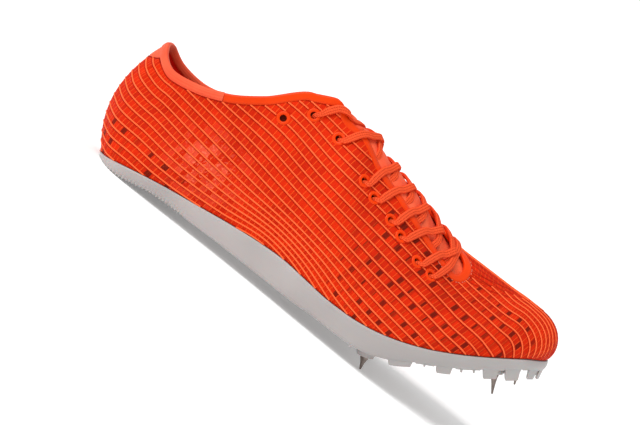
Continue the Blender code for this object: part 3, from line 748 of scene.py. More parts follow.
laceCloth = laceFinish("laceCloth")
knot = makeKnot()
laceEnds = (("laceEndOuter", "lace_end_outer", outerEnd), ("laceEndInner", "lace_end_inner", innerEnd))
endUp = Vector((0.25, -0.05, 1.0)).normalized()
for name, node, places in laceEnds:
    route = [(Vector(place), endUp, 0.55 if k == 0 else 1.0) for k, place in enumerate(places)]
    piece = strapPiece(name, [route], lacePlan["endWidth"], lacePlan["endThick"])
    line = [spot + origin for spot, up, squeeze in smoothRoute(route, 3)]
    length = sum((b - a).length for a, b in zip(line, line[1:]))
    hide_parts(node)
print("lace ends laid")


# Upper: one thin cloth shell with raised ribs, film, binding and eyelet rings

upperPlan = dict(
    stationStep=0.06, flankRows=60,
    lean=0.42,                # how far the cross threads lean to the heel
    bindingWidth=0.0043, bindingRaise=0.0009, filmWidth=0.0041, filmRaise=0.00035,
    eyeletRadius=0.0019, ringRadius=0.0039, ringRaise=0.00045, ringLap=0.0008,
)
# Eyelets: place as a share of the length, and how far down from the opening's edge
Eyelet = namedtuple("Eyelet", "along inset")
spareEyelet = Eyelet(0.284, 0.0140)
eyelets = [
    Eyelet(0.326, 0.0116),
    Eyelet(0.390, 0.0140),
    Eyelet(0.4765, 0.0186),
    Eyelet(0.511, 0.0180),
    Eyelet(0.562, 0.0178),
    Eyelet(0.596, 0.0184),
    Eyelet(0.650, 0.0188),
    Eyelet(0.687, 0.0164),
]

# Soft creases in the cloth: side, from (station, share down from the top), to, width, depth
Crease = namedtuple("Crease", "side start finish width depth")
creases = [
    Crease(-1, (0.9, 0.14), (3.0, 0.44), 0.0055, -0.0013),
    Crease(-1, (1.6, 0.40), (3.6, 0.34), 0.0040, -0.0008),
    Crease(-1, (3.30, 0.10), (3.80, 0.22), 0.0014, -0.0010),
    Crease(-1, (3.6, 0.34), (6.2, 0.30), 0.0060, 0.0005),
    Crease(-1, (5.6, 0.52), (8.2, 0.44), 0.0080, -0.0007),
    Crease(-1, (10.2, 0.66), (12.6, 0.58), 0.0070, 0.0005),
    Crease(1, (1.0, 0.34), (4.0, 0.32), 0.0060, -0.0006),
    Crease(1, (5.0, 0.50), (8.0, 0.46), 0.0080, -0.0007),
    Crease(1, (9.8, 0.62), (12.4, 0.70), 0.0070, 0.0005),
]
creaseLines = []
for crease in creases:
    line = []
    for k in range(9):
        t = k / 8
        s = crease.start[0] + (crease.finish[0] - crease.start[0]) * t
        down = crease.start[1] + (crease.finish[1] - crease.start[1]) * t
        total = running(crease.side, s)[1][-1]
        line.append((skin(crease.side, s, heightAt(crease.side, s, total * down)), math.sin(math.pi * t)))
    creaseLines.append((crease, line))


def creaseDepth(side, spot):
    depth = 0.0
    for crease, line in creaseLines:
        if crease.side != side or abs(spot.x - line[4][0].x) > 0.05:
            continue
        near, strength = min(line, key=lambda row: (row[0] - spot).length_squared)
        distance = (near - spot).length
        if distance < 3 * crease.width:
            depth += crease.depth * strength * math.exp(-(distance / crease.width) ** 2)
    return depth


# Rib counts up the outer side at places along it, in millimetres: place, then (height, count)
ribRows = [
    (0, [(6.4, 22.0), (14.5, 20.0), (33.3, 16.0), (56.7, 11.0), (66.0, 9.0)]),
    (30, [(13.3, 20.0), (38.9, 14.0), (57.8, 10.0), (66.4, 8.0)]),
    (70, [(19.5, 19.0), (39.0, 13.0), (57.9, 9.0), (87.7, 3.0), (100.2, 0.0)]),
    (100, [(20.2, 20.0), (40.0, 12.0), (53.0, 9.0), (82.9, 3.0), (98.0, 0.0)]),
    (150, [(16.5, 16.2), (27.7, 13.0), (45.0, 9.0), (61.3, 6.0), (82.5, 2.0)]),
    (200, [(27.0, 11.4), (33.4, 10.0), (48.8, 7.0), (64.8, 4.0), (76.0, 1.0)]),
    (230, [(41.0, 7.5), (48.5, 6.0), (65.4, 3.0), (75.0, 1.0)]),
]
# How the rows were read: from where, in millimetres, and how they lean with the way across
ribView = dict(across=25, along=15.4, alongLean=0.0767, heightLean=0.0959)
# Stations over which the rows take over from the table, and give back to it
ribBlend = dict(start=(1.5, 3.5), end=(13.2, 15.8))


def bendThrough(knots, x):
    # Smooth curve through rising knots, straight beyond its ends
    end = len(knots) - 1
    rates = [(knots[i + 1][1] - knots[i][1]) / (knots[i + 1][0] - knots[i][0]) for i in range(end)]
    if x <= knots[0][0]:
        return knots[0][1] + rates[0] * (x - knots[0][0])
    if x >= knots[end][0]:
        return knots[end][1] + rates[-1] * (x - knots[end][0])
    i = 0
    while knots[i + 1][0] < x:
        i += 1
    width = knots[i + 1][0] - knots[i][0]
    t = (x - knots[i][0]) / width
    before = rates[0] if i == 0 else (rates[i - 1] + rates[i]) / 2
    after = rates[-1] if i == end - 1 else (rates[i] + rates[i + 1]) / 2
    return bend(knots[i][1], knots[i + 1][1], width * before, width * after, t)


def ribAtPlace(spot):
    # The rows were read looking square at the side, a little from above and from the heel
    across = spot.y * 1000 + ribView["across"]
    x = spot.x * 1000 - ribView["along"] - ribView["alongLean"] * across
    z = spot.z * 1000 + ribView["heightLean"] * across
    return bendThrough([(place, bendThrough(rows, z)) for place, rows in ribRows], x)


def ribCount(side, s, fraction, spot=None):
    # How many ribs lie between the crest and this place, whole numbers on the ribs themselves
    byPlace = 0.0
    if side < 0:
        byPlace = smoothStep(*ribBlend["start"], s) * (1 - smoothStep(*ribBlend["end"], s))
    if byPlace <= 0:
        return ribCountByTable(side, s, fraction)
    if spot is None:
        spot = skin(side, s, heightAt(side, s, running(side, s)[1][-1] * fraction))
    if byPlace >= 1:
        return ribAtPlace(spot)
    return ribAtPlace(spot) * byPlace + ribCountByTable(side, s, fraction) * (1 - byPlace)


def ribCountByTable(side, s, fraction):
    sole = share("rib.sole", s)
    if side > 0:
        top = share("rib.inner", s)
        value = top + (sole - top) * fraction + share("rib.bend", s) * 4 * fraction * (1 - fraction)
        return foldCount - value
    counts = [share("rib." + name, s) for name in ("rim", "high", "middle", "low")] + [sole]
    counts = [2 * counts[0] - counts[1]] + counts + [2 * counts[4] - counts[3]]
    i = min(int(fraction * 4), 3)
    t = fraction * 4 - i
    return between(*counts[i:i + 4], t)


def upperStations(step):
    # Stations a step apart, and closer at the heel, the toe and the throat's round end
    values = []
    count = int(round(last / step))
    for i in range(count + 1):
        values.append(last * i / count)
    values.append(shoe["bindingEnd"])
    for edge in (0, last - 1):
        values += [edge + k / 40 for k in range(41)]
    for k in range(13):
        into = math.sin(math.pi / 2 * k / 12)
        values.append(shoe["throatEnd"] - shoe["throatRound"] * (1 - into))
    return sorted({round(value, 4) for value in values})


# Millimetres from the heel along the middle of the outer side, station by station
clothStations = upperStations(upperPlan["stationStep"])
spine = []
spot = skin(-1, 0.0, 0.5)
for s in clothStations:
    following = skin(-1, s, 0.5)
    spine.append((spine[-1] if spine else 0.0) + (following - spot).length * 1000)
    spot = following


def spineAt(s):
    return lookUp(clothStations, spine, s)


Skin = namedtuple("Skin", "run spot normal")
skinRows = {}
for side in (-1, 1):
    for s in clothStations:
        edgeRun = runAt(side, s, edgeHeight(side, s))
        total = running(side, s)[1][-1]
        row = []
        for j in range(upperPlan["flankRows"] + 1):
            run = edgeRun + (total - edgeRun) * j / upperPlan["flankRows"]
            h = heightAt(side, s, run) if j < upperPlan["flankRows"] else 0.0
            spot = skin(side, s, h)
            normal = skinNormal(side, s, h)
            spot = spot + normal * creaseDepth(side, spot) * smoothStep(0.0, 0.006, total - run)
            row.append(Skin(run, spot, normal))
        skinRows[side, s] = row
print("upper surface worked out:", len(clothStations), "stations")

# The outline of the opening, from the binding's outer end round the throat to its inner one
bindingEnd = shoe["bindingEnd"]
outline = []
for side, order in ((-1, 1), (1, -1)):
    part = [s for s in clothStations if bindingEnd <= s <= shoe["throatEnd"]]
    for s in part[::order]:
        outline.append(skinRows[side, s][0])
outline = [row for k, row in enumerate(outline) if k == 0 or (row.spot - outline[k - 1].spot).length > 0.0002]
outlineTree = KDTree(len(outline))
for k, row in enumerate(outline):
    outlineTree.insert(row.spot, k)
outlineTree.balance()

eyeletPlaces = []
for side in (-1, 1):
    for eyelet in [spareEyelet] + eyelets:
        s = stationFor(side, eyelet.inset, eyelet.along * shoe["length"])
        h = heightBelow(side, s, eyelet.inset)
        eyeletPlaces.append((skin(side, s, h), skinNormal(side, s, h)))
eyeletTree = KDTree(len(eyeletPlaces))
for k, (spot, normal) in enumerate(eyeletPlaces):
    eyeletTree.insert(spot, k)
eyeletTree.balance()

# The whole skin without its opening, to lay other pieces on
layRows = 60
layPoints = []
layFaces = []
for side in (-1, 1):
    start = len(layPoints)
    for s in clothStations:
        total = running(side, s)[1][-1]
        for j in range(layRows + 1):
            layPoints.append(skin(side, s, heightAt(side, s, total * j / layRows) if j < layRows else 0.0))
    layFaces += gridFaces(len(clothStations), layRows + 1, start, turned=side < 0)
layTree = BVHTree.FromPolygons(layPoints, layFaces)


def settle(spot, lift):
    # The nearest place on the skin, raised off it
    found, normal = layTree.find_nearest(spot)[:2]
    return found + normal * lift


# Open cells of the cloth, where the shoe's inside shows as painted shade: along the shoe in metres, and
# between which ribs
windowPlan = dict(
    pitch=10.4,               # mm from one to the next along a rib
    foreStart=(0.138, 0.160), foreEnd=(0.256, 0.268), foreTop=(0.2, 1.2), foreLow=(14.5, 16.5),
    heelStart=(0.004, 0.012), heelEnd=(0.052, 0.072), heelTop=(17.2, 18.0),
)


def openCellShadeStrength(x, count):
    # Where the open cells show the inside of the shoe, painted dark as shade
    plan = windowPlan
    fore = smoothStep(*plan["foreStart"], x) * (1 - smoothStep(*plan["foreEnd"], x))
    low = smoothStep(*plan["foreTop"], count) * (1 - smoothStep(*plan["foreLow"], count))
    heel = smoothStep(*plan["heelStart"], x) * (1 - smoothStep(*plan["heelEnd"], x))
    return max(fore * low, heel * smoothStep(*plan["heelTop"], count))


clothPlan = dict(
    deep=(0.46, 0.004, 0.0003), vivid=(0.72, 0.017, 0.0008), light=(0.98, 0.100, 0.014),
    # Painted light among these colours: shadow is painted shade, the open cells' colour is the painted shade
    # of the shoe's inside, glint a painted highlight
    shadow=(0.25, 0.002, 0.0003), openCellShade=(0.085, 0.006, 0.003), glint=(0.98, 0.24, 0.14),
    cell=3.3,                 # mm between the cross threads
    weave=0.62,               # mm between the finest threads
    weaveRows=7,              # of those threads from one rib to the next
    ahead=0.02,               # of a row, so that a rib's own shadow falls in the row below it
    rowShift=13.37,           # cells, so that the cross threads of two rows do not line up
    switchRow=7.5,            # below this rib the other rows are the strong ones
)


def clothFinish(name):
    made = Finish(name)
    count = made.reading("weave", 0)
    run = made.reading("weave", 1)
    # Where the open cells lie: they get the painted shade of the shoe's inside
    openCellShade = made.reading("weave", 2)
    glint = made.reading("placing", 1)
    row = (count + clothPlan["ahead"]).whole()
    inRow = (count + clothPlan["ahead"]).part()
    lane = run / clothPlan["cell"] + row * clothPlan["rowShift"]
    # Cross threads and the shade of each cell
    lanes = {"W": lane, "Scale": 1.0, "Randomness": 0.8}
    cell = made.node("ShaderNodeTexVoronoi", {"voronoi_dimensions": "1D"}, lanes, output="Color")
    pick = made.node("ShaderNodeSeparateColor", None, [cell], output=0)
    other = made.node("ShaderNodeSeparateColor", None, [cell], output=1)
    toEdge = {"voronoi_dimensions": "1D", "feature": "DISTANCE_TO_EDGE"}
    gap = made.node("ShaderNodeTexVoronoi", toEdge, lanes)
    thread = 1 - gap.smooth(0.03, 0.13)
    fine = (run * (math.pi * 2 / clothPlan["weave"])).wave()
    fine = fine * (count * (math.pi * 2 * clothPlan["weaveRows"])).wave() * 0.5 + 0.5
    shade = made.noise(made.place(), 34.0)
    colour = made.blend(pick * 0.55 + shade.smooth(0.3, 0.7) * 0.45, clothPlan["deep"], clothPlan["vivid"])
    colour = made.blend(fine * 0.22, colour, clothPlan["light"])
    colour = made.blend(thread * 0.62, colour, clothPlan["light"])
    # Open cells, painted dark as the shade inside the shoe, stronger in every other row
    shift = made.node("ShaderNodeTexWhiteNoise", {"noise_dimensions": "1D"}, {"W": row})
    slot = (run / windowPlan["pitch"] + shift * 0.35 + row * 0.18).part()
    kept = row + (row > clothPlan["switchRow"])
    kept = ((kept * 0.5).part() > 0.25)
    inside = slot.smooth(0.0, 0.05) * (1 - slot.smooth(0.33, 0.38))
    inside = inside * inRow.smooth(0.12, 0.24) * (1 - inRow.smooth(0.80, 0.92))
    dark = openCellShade * inside * (kept * 0.70 + 0.30) * (other.smooth(0.10, 0.70) * 0.75 + 0.25)
    dark = dark * (1 - fine * 0.35)
    colour = made.blend(dark, colour, clothPlan["openCellShade"])
    # Painted light: a painted highlight on threads that catch the light, painted shade beside each rib,
    # mostly its shadow below it, and painted shade along the seam under the binding
    speck = made.noise(made.place(), 700.0)
    bright = glint * (pick.smooth(0.35, 0.95) * 0.6 + speck.smooth(0.55, 0.66) * 0.8)
    colour = made.blend(bright * 0.6, colour, clothPlan["glint"])
    below = inRow.smooth(0.05, 0.10) * (1 - inRow.smooth(0.13, 0.30))
    above = inRow.smooth(0.78, 0.93) * (1 - inRow.smooth(0.93, 0.97))
    colour = made.blend(below * 0.78 + above * 0.22, colour, clothPlan["shadow"])
    # Painted shade in a band just below the binding's lower edge
    depth = made.reading("placing", 0)
    edge = upperPlan["bindingWidth"]
    seam = depth.smooth(edge - 0.0006, edge) * (1 - depth.smooth(edge + 0.0002, edge + 0.0012))
    colour = made.blend(seam * 0.6, colour, clothPlan["shadow"])
    made.set(colour=colour, roughness=0.55 + shade * 0.14, specular=0.05)
    made.bump(thread * 0.6 + fine * 0.30 + pick * 0.25, 0.00030)
    return made


ribPlan = dict(
    wide=0.00092, high=0.00042, first=-6, end=25, stationSteps=420, shareSteps=40, shortest=4,
    heelGap=0.0030, heelEnd=(0.2, 1.0),      # further off the binding at the heel patch
    twist=0.9,                # mm between the turns of the thread
    light=(1.0, 0.168, 0.050), mid=(0.92, 0.080, 0.014),
)


def ribFinish(name):
    made = Finish(name)
    run = made.reading("weave", 1)
    twist = (run * (math.pi * 2 / ribPlan["twist"])).wave() * 0.5 + 0.5
    shade = made.noise(made.place(), 60.0)
    colour = made.blend(twist * 0.35 + shade * 0.2, ribPlan["light"], ribPlan["mid"])
    made.set(colour=colour, roughness=0.46, specular=0.08)
    made.bump(twist, 0.00010)
    return made


liningPlan = dict(deep=(0.62, 0.004, 0.0004), vivid=(0.88, 0.008, 0.0006))


def liningFinish(name):
    made = Finish(name)
    weave = made.cells(1400.0)
    shade = made.noise(made.place(), 45.0)
    colour = made.blend(weave.smooth(0.1, 0.7) * 0.5 + shade * 0.3, liningPlan["deep"], liningPlan["vivid"])
    made.set(colour=colour, roughness=0.85, specular=0.15)
    made.bump(weave, 0.00015)
    return made


def filmFinish(name, colour, roughness, grain):
    made = Finish(name)
    shade = made.noise(made.place(), 55.0)
    fine = made.noise(made.place(), grain)
    deeper = tuple(value * 0.78 for value in colour)
    made.set(colour=made.blend(shade.smooth(0.3, 0.7) * 0.5, colour, deeper),
             roughness=roughness + fine * 0.12, specular=0.12)
    made.bump(fine, 0.00006)
    return made


bindingPlan = dict(
    light=(0.95, 0.125, 0.050), mid=(0.84, 0.062, 0.018), sheen=(1.0, 0.6, 0.5),
    knit=0.55,                # mm between stitches
    rows=9, fold=0.0007, step=0.002,
    profile=((1.0, 0.05), (0.94, 0.6), (0.75, 0.95), (0.5, 1.1), (0.25, 1.1), (0.08, 0.95)),
)


def bindingFinish(name):
    made = Finish(name)
    run = made.reading("weave", 1)
    across = made.reading("weave", 0)
    knit = (run * (math.pi * 2 / bindingPlan["knit"])).wave() * 0.5 + 0.5
    rows = (across * (math.pi * 2 * bindingPlan["rows"])).wave() * 0.5 + 0.5
    shade = made.noise(made.place(), 70.0)
    amount = shade.smooth(0.3, 0.7) * 0.5 + knit * rows * 0.3
    made.set(colour=made.blend(amount, bindingPlan["light"], bindingPlan["mid"]), roughness=0.66,
             sheen=0.12, sheenRoughness=0.4, sheenTint=bindingPlan["sheen"], specular=0.25)
    made.bump(knit * rows, 0.00012)
    return made


# Near-black cloth for the discs behind the eyelets: painted shade in the holes
def holeShadeFinish(name):
    made = Finish(name)
    shade = made.noise(made.place(), 400.0)
    colour = made.blend(shade, (0.075, 0.006, 0.003), (0.16, 0.014, 0.006))
    made.set(colour=colour, roughness=0.8, specular=0.1)
    made.bump(shade, 0.0001)
    return made


def threadFinish(name, colour, deeper):
    made = Finish(name)
    twist = made.noise(made.place(), 1500.0)
    made.set(colour=made.blend(twist, colour, deeper), roughness=0.7, specular=0.1)
    made.bump(twist, 0.00008)
    return made


seamThread = threadFinish("seamThread", (0.30, 0.010, 0.003), (0.16, 0.004, 0.001))
stitchThread = threadFinish("stitchThread", (0.95, 0.34, 0.22), (0.60, 0.06, 0.02))
upperCloth = clothFinish("upperCloth")
ribCloth = ribFinish("ribCloth")
lining = liningFinish("liningCloth")
film = filmFinish("eyestayFilm", (0.84, 0.050, 0.0010), 0.30, 900.0)
ringFilm = filmFinish("eyeletFilm", (0.84, 0.050, 0.0015), 0.24, 1200.0)
bindingCloth = bindingFinish("bindingCloth")


# Painted highlight on threads that glint low down ahead of the heel: where, how far they spread,
# and how strong on the inner side
glintPlan = dict(x=0.064, z=0.034, long=0.016, high=0.014, inner=0.4)


def makeUpper():
    points = []
    weave = []
    placing = []
    faces = []
    rowLength = upperPlan["flankRows"] + 1
    for side in (-1, 1):
        start = len(points)
        for s in clothStations:
            total = running(side, s)[1][-1]
            for row in skinRows[side, s]:
                count = ribCount(side, s, row.run / total, row.spot)
                points.append(row.spot)
                outerCount = count if side < 0 else foldCount - count
                # The third reading is where the open cells get their painted shade
                weave.append((count, spineAt(s) - upperPlan["lean"] * (total - row.run) * 1000,
                              openCellShadeStrength(row.spot.x, outerCount)))
                # Strength of the painted highlight on glinting threads, kept in the placing reading
                away = (row.spot.x - glintPlan["x"]) / glintPlan["long"]
                above = (row.spot.z - glintPlan["z"]) / glintPlan["high"]
                glint = math.exp(-(away ** 2 + above ** 2))
                placing.append((row.run, glint if side < 0 else glint * glintPlan["inner"], 0.0))
        faces += gridFaces(len(clothStations), rowLength, start, turned=side < 0)
    # The cloth is open inside each eyelet ring
    kept = []
    for face in faces:
        if len({tuple(round(v, 6) for v in points[k]) for k in face}) < 3:
            continue
        middle = sum((points[k] for k in face), Vector()) / 4
        if eyeletTree.find(middle)[2] > upperPlan["ringRadius"] - upperPlan["ringLap"]:
            kept.append(face)
    made = addPiece("upperCloth", points, kept, [upperCloth, lining],
                    readings={"weave": weave, "placing": placing})
    weldSeam(made)
    shell = made.modifiers.new("wall", "SOLIDIFY")
    shell.thickness = shoe["wall"]
    shell.offset = -1.0
    shell.use_rim = True
    shell.material_offset = 1
    shell.material_offset_rim = 1
    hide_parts("upper")


makeUpper()
print("upper cloth made")


ribStations = [last * i / ribPlan["stationSteps"] for i in range(ribPlan["stationSteps"] + 1)]
ribShares = [i / ribPlan["shareSteps"] for i in range(ribPlan["shareSteps"] + 1)]
ribCounts = {}
for side in (-1, 1):
    for s in ribStations:
        ribCounts[side, s] = [ribCount(side, s, part) for part in ribShares]


def ribRun(side, number):
    # Places along one rib: station and share of the section, in unbroken stretches
    stretches = []
    current = []
    for s in ribStations:
        counts = ribCounts[side, s]
        found = None
        for i in range(len(counts) - 1):
            a = counts[i] - number
            b = counts[i + 1] - number
            if a * b <= 0 and abs(counts[-1] - counts[0]) > 0.4 and a != b:
                found = ribShares[i] + (ribShares[i + 1] - ribShares[i]) * a / (a - b)
        if found is not None:
            current.append((s, found))
        elif current:
            stretches.append(current)
            current = []
    if current:
        stretches.append(current)
    return stretches


def ribClear(spot, s, run, edgeRun):
    # A rib stops at the film, the heel binding and the eyelet rings
    if s < bindingEnd:
        gap = ribPlan["heelGap"] * (1 - smoothStep(*ribPlan["heelEnd"], s))
        return run - edgeRun > upperPlan["bindingWidth"] + gap
    if outlineTree.find(spot)[2] < upperPlan["filmWidth"]:
        return False
    return eyeletTree.find(spot)[2] > upperPlan["ringRadius"]


def ribLines(side, number):
    # The lines of one rib that lie clear, as rows of (spot, normal, station)
    lines = []
    for stretch in ribRun(side, number if side < 0 else foldCount - number):
        line = []
        for s, fraction in stretch:
            edgeRun = runAt(side, s, edgeHeight(side, s))
            run = running(side, s)[1][-1] * fraction
            h = heightAt(side, s, run)
            spot = skin(side, s, h)
            if run >= edgeRun and ribClear(spot, s, run, edgeRun):
                normal = skinNormal(side, s, h)
                line.append((spot + normal * creaseDepth(side, spot), normal, s))
            elif line:
                lines.append(line)
                line = []
        if line:
            lines.append(line)
    return [line for line in lines if len(line) >= ribPlan["shortest"]]


def makeRibs():
    points = []
    faces = []
    weave = []
    profile = ((-1.0, -0.25), (-0.72, 0.62), (0.0, 1.0), (0.72, 0.62), (1.0, -0.25))
    numbers = range(ribPlan["first"], ribPlan["end"])
    for line in [line for side in (-1, 1) for number in numbers for line in ribLines(side, number)]:
        start = len(points)
        for i, (spot, normal, s) in enumerate(line):
            ahead = line[min(i + 1, len(line) - 1)][0]
            behind = line[max(i - 1, 0)][0]
            travel = (ahead - behind).normalized()
            across = normal.cross(travel).normalized()
            fade = 0.3 if i in (0, len(line) - 1) else 1.0
            for wide, high in profile:
                points.append(spot + across * (wide * ribPlan["wide"] / 2)
                              + normal * (high * ribPlan["high"] * fade))
                weave.append((wide, spineAt(s), high))
        faces += gridFaces(len(line), len(profile), start)
    made = addPiece("upperRibs", points, faces, [ribCloth], readings={"weave": weave})
    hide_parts("upper")


makeRibs()
print("ribs laid")


def makeBinding():
    # Soft folded tape over the collar's edge, from one film end round the heel to the other
    stations = [s for s in clothStations if s <= bindingEnd + 0.02]
    rows = [(-1, s) for s in stations[::-1]] + [(1, s) for s in stations[1:]]
    points = []
    weave = []
    wide = upperPlan["bindingWidth"]
    puff = upperPlan["bindingRaise"]
    wall = shoe["wall"]
    shape = bindingPlan["profile"]
    count = len(shape) * 2 + 2
    for side, s in rows:
        edge = edgeHeight(side, s)
        normal = skinNormal(side, s, edge)
        top = skin(side, s, edge)
        below = skin(side, s, heightBelow(side, s, bindingPlan["step"]))
        up = (top - below).normalized() * bindingPlan["fold"]
        run = spineAt(s) * side
        for down, raised in shape:
            h = heightBelow(side, s, down * wide)
            points.append(skin(side, s, h) + skinNormal(side, s, h) * (puff * raised))
        points.append(top + up + normal * 0.0002)
        points.append(top + up - normal * (wall + 0.0002))
        for down, raised in reversed(shape):
            h = heightBelow(side, s, down * wide)
            points.append(skin(side, s, h) - skinNormal(side, s, h) * (wall + puff * raised * 0.8))
        weave += [(k / (count - 1), run, 0.0) for k in range(count)]
    faces = gridFaces(len(rows), count)
    faces.append(tuple(range(count)))
    faces.append(tuple(reversed(range(len(points) - count, len(points)))))
    made = addPiece("collarBinding", points, faces, [bindingCloth], readings={"weave": weave})
    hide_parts("upper")


patchPlan = dict(steps=12, rows=6, reach=1.05, drop=0.0098, start=0.8, lift=0.00035, seamLift=0.0004)


def makeHeelPatch():
    # A small smooth piece of the same tape at the back of the heel, with a dark seam along its edge
    patchPoints = []
    seamPoints = []
    weave = []
    steps = patchPlan["steps"]
    rows = patchPlan["rows"]
    top = upperPlan["bindingWidth"] * patchPlan["start"]
    for i in range(2 * steps + 1):
        turn = (i - steps) / steps
        side = -1 if turn < 0 else 1
        s = abs(turn) * patchPlan["reach"]
        depth = top + patchPlan["drop"] * (1 - abs(turn) ** 1.4)
        for j in range(rows + 1):
            h = heightBelow(side, s, top + (depth - top) * j / rows)
            lift = patchPlan["lift"] if j < rows else -0.0001
            patchPoints.append(skin(side, s, h) + skinNormal(side, s, h) * lift)
            weave.append((j / rows, turn * 12, 0.0))
        for below, lift in ((-0.0001, 0.0), (0.0001, patchPlan["seamLift"]), (0.0005, 0.0)):
            h = heightBelow(side, s, depth + below)
            seamPoints.append(skin(side, s, h) + skinNormal(side, s, h) * lift)
    faces = gridFaces(2 * steps + 1, rows + 1)
    made = addPiece("heelPatch", patchPoints, faces, [bindingCloth], readings={"weave": weave})
    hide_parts("upper")
    made = addPiece("heelPatchSeam", seamPoints, gridFaces(2 * steps + 1, 3), [seamThread])
    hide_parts("upper")


makeBinding()
makeHeelPatch()


filmPlan = dict(inside=0.0035, steps=4, sink=0.0003)


def makeFilm():
    # Smooth film along the front of the collar and round the throat, folded over the edge
    points = []
    wall = shoe["wall"]
    wide = upperPlan["filmWidth"]
    raised = upperPlan["filmRaise"]
    for i, row in enumerate(outline):
        ahead = outline[min(i + 1, len(outline) - 1)].spot
        behind = outline[max(i - 1, 0)].spot
        travel = (ahead - behind).normalized()
        away = travel.cross(row.normal).normalized()
        if away.z > 0.5:
            away = -away
        points.append(row.spot + away * filmPlan["inside"] - row.normal * (wall + 0.0002))
        points.append(row.spot - away * 0.0001 - row.normal * (wall + 0.0003))
        points.append(row.spot - away * 0.0004 - row.normal * wall * 0.5)
        points.append(row.spot - away * 0.0003 + row.normal * raised * 0.6)
        for k in range(filmPlan["steps"]):
            points.append(settle(row.spot + away * (wide * (k + 1) / filmPlan["steps"]), raised))
        points.append(settle(row.spot + away * (wide + filmPlan["sink"]), -0.0001))
    faces = gridFaces(len(outline), filmPlan["steps"] + 5)
    made = addPiece("eyestayFilm", points, faces, [film])
    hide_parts("upper")


makeFilm()


# Stitches: how many rows of the outline they span either side of the throat's end, and their sizes
stitchPlan = dict(before=30, after=12, pitch=0.0017, gap=0.0006, long=0.0006, wide=0.00022, high=0.0003)


def makeStitches():
    # A few short stitches hold the film at the toe end of the throat
    points = []
    faces = []
    middle = len(outline) // 2
    length = 0.0
    nextStitch = 0.0
    for i in range(middle - stitchPlan["before"], middle + stitchPlan["after"]):
        here = outline[i].spot
        ahead = outline[i + 1].spot
        length += (ahead - here).length
        if length < nextStitch:
            continue
        nextStitch += stitchPlan["pitch"]
        travel = (ahead - here).normalized()
        away = travel.cross(outline[i].normal).normalized()
        spot = settle(here + away * (upperPlan["filmWidth"] + stitchPlan["gap"]), 0.0001)
        start = len(points)
        for along, lift, wide in ((-1.0, 0.0, 0.6), (-0.5, 1.0, 1.0), (0.5, 1.0, 1.0), (1.0, 0.0, 0.6)):
            for across, rise in ((-1.0, 0.0), (0.0, 1.0), (1.0, 0.0)):
                points.append(spot + travel * (along * stitchPlan["long"])
                              + away * (across * stitchPlan["wide"] * wide)
                              + outline[i].normal * (lift * stitchPlan["high"] * rise + 0.00005))
        faces += gridFaces(4, 3, start)
    made = addPiece("throatStitches", points, faces, [stitchThread])
    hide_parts("upper")


makeStitches()


def ringRow(spot, normal, radius, rise, around):
    # Points round an eyelet, laid on the skin and raised off it
    across = normal.cross(Vector((1, 0, 0))).normalized()
    forward = across.cross(normal).normalized()
    row = []
    for k in range(around):
        turn = 2 * math.pi * k / around
        row.append(settle(spot + (forward * math.cos(turn) + across * math.sin(turn)) * radius, rise))
    return row


def makeRings():
    # A raised film ring through the cloth at each eyelet
    points = []
    faces = []
    hole = upperPlan["eyeletRadius"]
    outer = upperPlan["ringRadius"]
    lift = upperPlan["ringRaise"]
    wall = shoe["wall"]
    profile = [
        (outer, -0.0002), (outer - 0.0003, lift * 0.8), (outer - 0.0007, lift),
        (hole + 0.0007, lift * 1.05), (hole + 0.0002, lift * 0.8), (hole, 0.0), (hole, -wall),
        (hole + 0.0003, -wall - 0.0003), (outer - 0.0004, -wall - 0.0003), (outer, -wall)]
    around = 32
    for spot, normal in eyeletPlaces:
        start = len(points)
        for radius, rise in profile:
            points += ringRow(spot, normal, radius, rise, around)
        faces += gridFaces(len(profile), around, start, closed=True)
    made = addPiece("eyeletRings", points, faces, [ringFilm])
    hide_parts("upper")


makeRings()


def makeHoleShades():
    # Painted shade: a dark disc inside each eyelet, below the cloth, stands for the shade in the hole
    points = []
    faces = []
    around = 20
    for spot, normal in eyeletPlaces:
        start = len(points)
        points.append(settle(spot, -shoe["wall"] - 0.0009))
        for radius, depth in ((upperPlan["eyeletRadius"], 0.0009), (upperPlan["ringRadius"], 0.0004)):
            points += ringRow(spot, normal, radius, -shoe["wall"] - depth, around)
        for k in range(around):
            faces.append((start, start + 1 + k, start + 1 + (k + 1) % around))
        faces += gridFaces(2, around, start + 1, closed=True)
    made = addPiece("eyeletHoleShade", points, faces, [holeShadeFinish("eyeletHoleShadeCloth")])
    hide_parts("upper")


makeHoleShades()
print("binding, film and rings made")


# Sole: plate with smooth side wall, lugs, bosses and heel ripple

solePlan = dict(
    lip=0.0008, draft=0.0014, waistHollow=0.0016, waistStart=3.0, waistEnd=10.5,
    bulge=0.0005, wallRows=7, bottomRows=14, stationStep=0.045,
    lugWidth=0.0085, toothWidth=0.0030, webWidth=0.0060, lugDraft=0.80, lugSink=0.0015, lugSteps=5,
    ripplePitch=0.0020, rippleDepth=0.0011, rippleStart=(0.020, 0.028), rippleEnd=(0.065, 0.075),
    fineStart=0.9, fineStep=0.016, fineCount=300,      # close stations under the heel
    pinLength=0.0112, pinRadius=0.0023, pinTip=0.0005, pinLifted=0.002,
    bossReach=0.0085, bossRadius=0.0062, bossTip=0.0047,
)
# Lugs along the rim: stations, and how far they hang as a share of the toe rise
Lug = namedtuple("Lug", "start end hang")
lugs = [
    Lug(12.02, 12.88, 0.045),
    Lug(13.70, 14.27, 0.058),
    Lug(15.30, 15.90, 0.080),
    Lug(16.12, 16.66, 0.096),
    Lug(17.00, 17.40, 0.090),
    Lug(17.50, 17.74, 0.088),
]
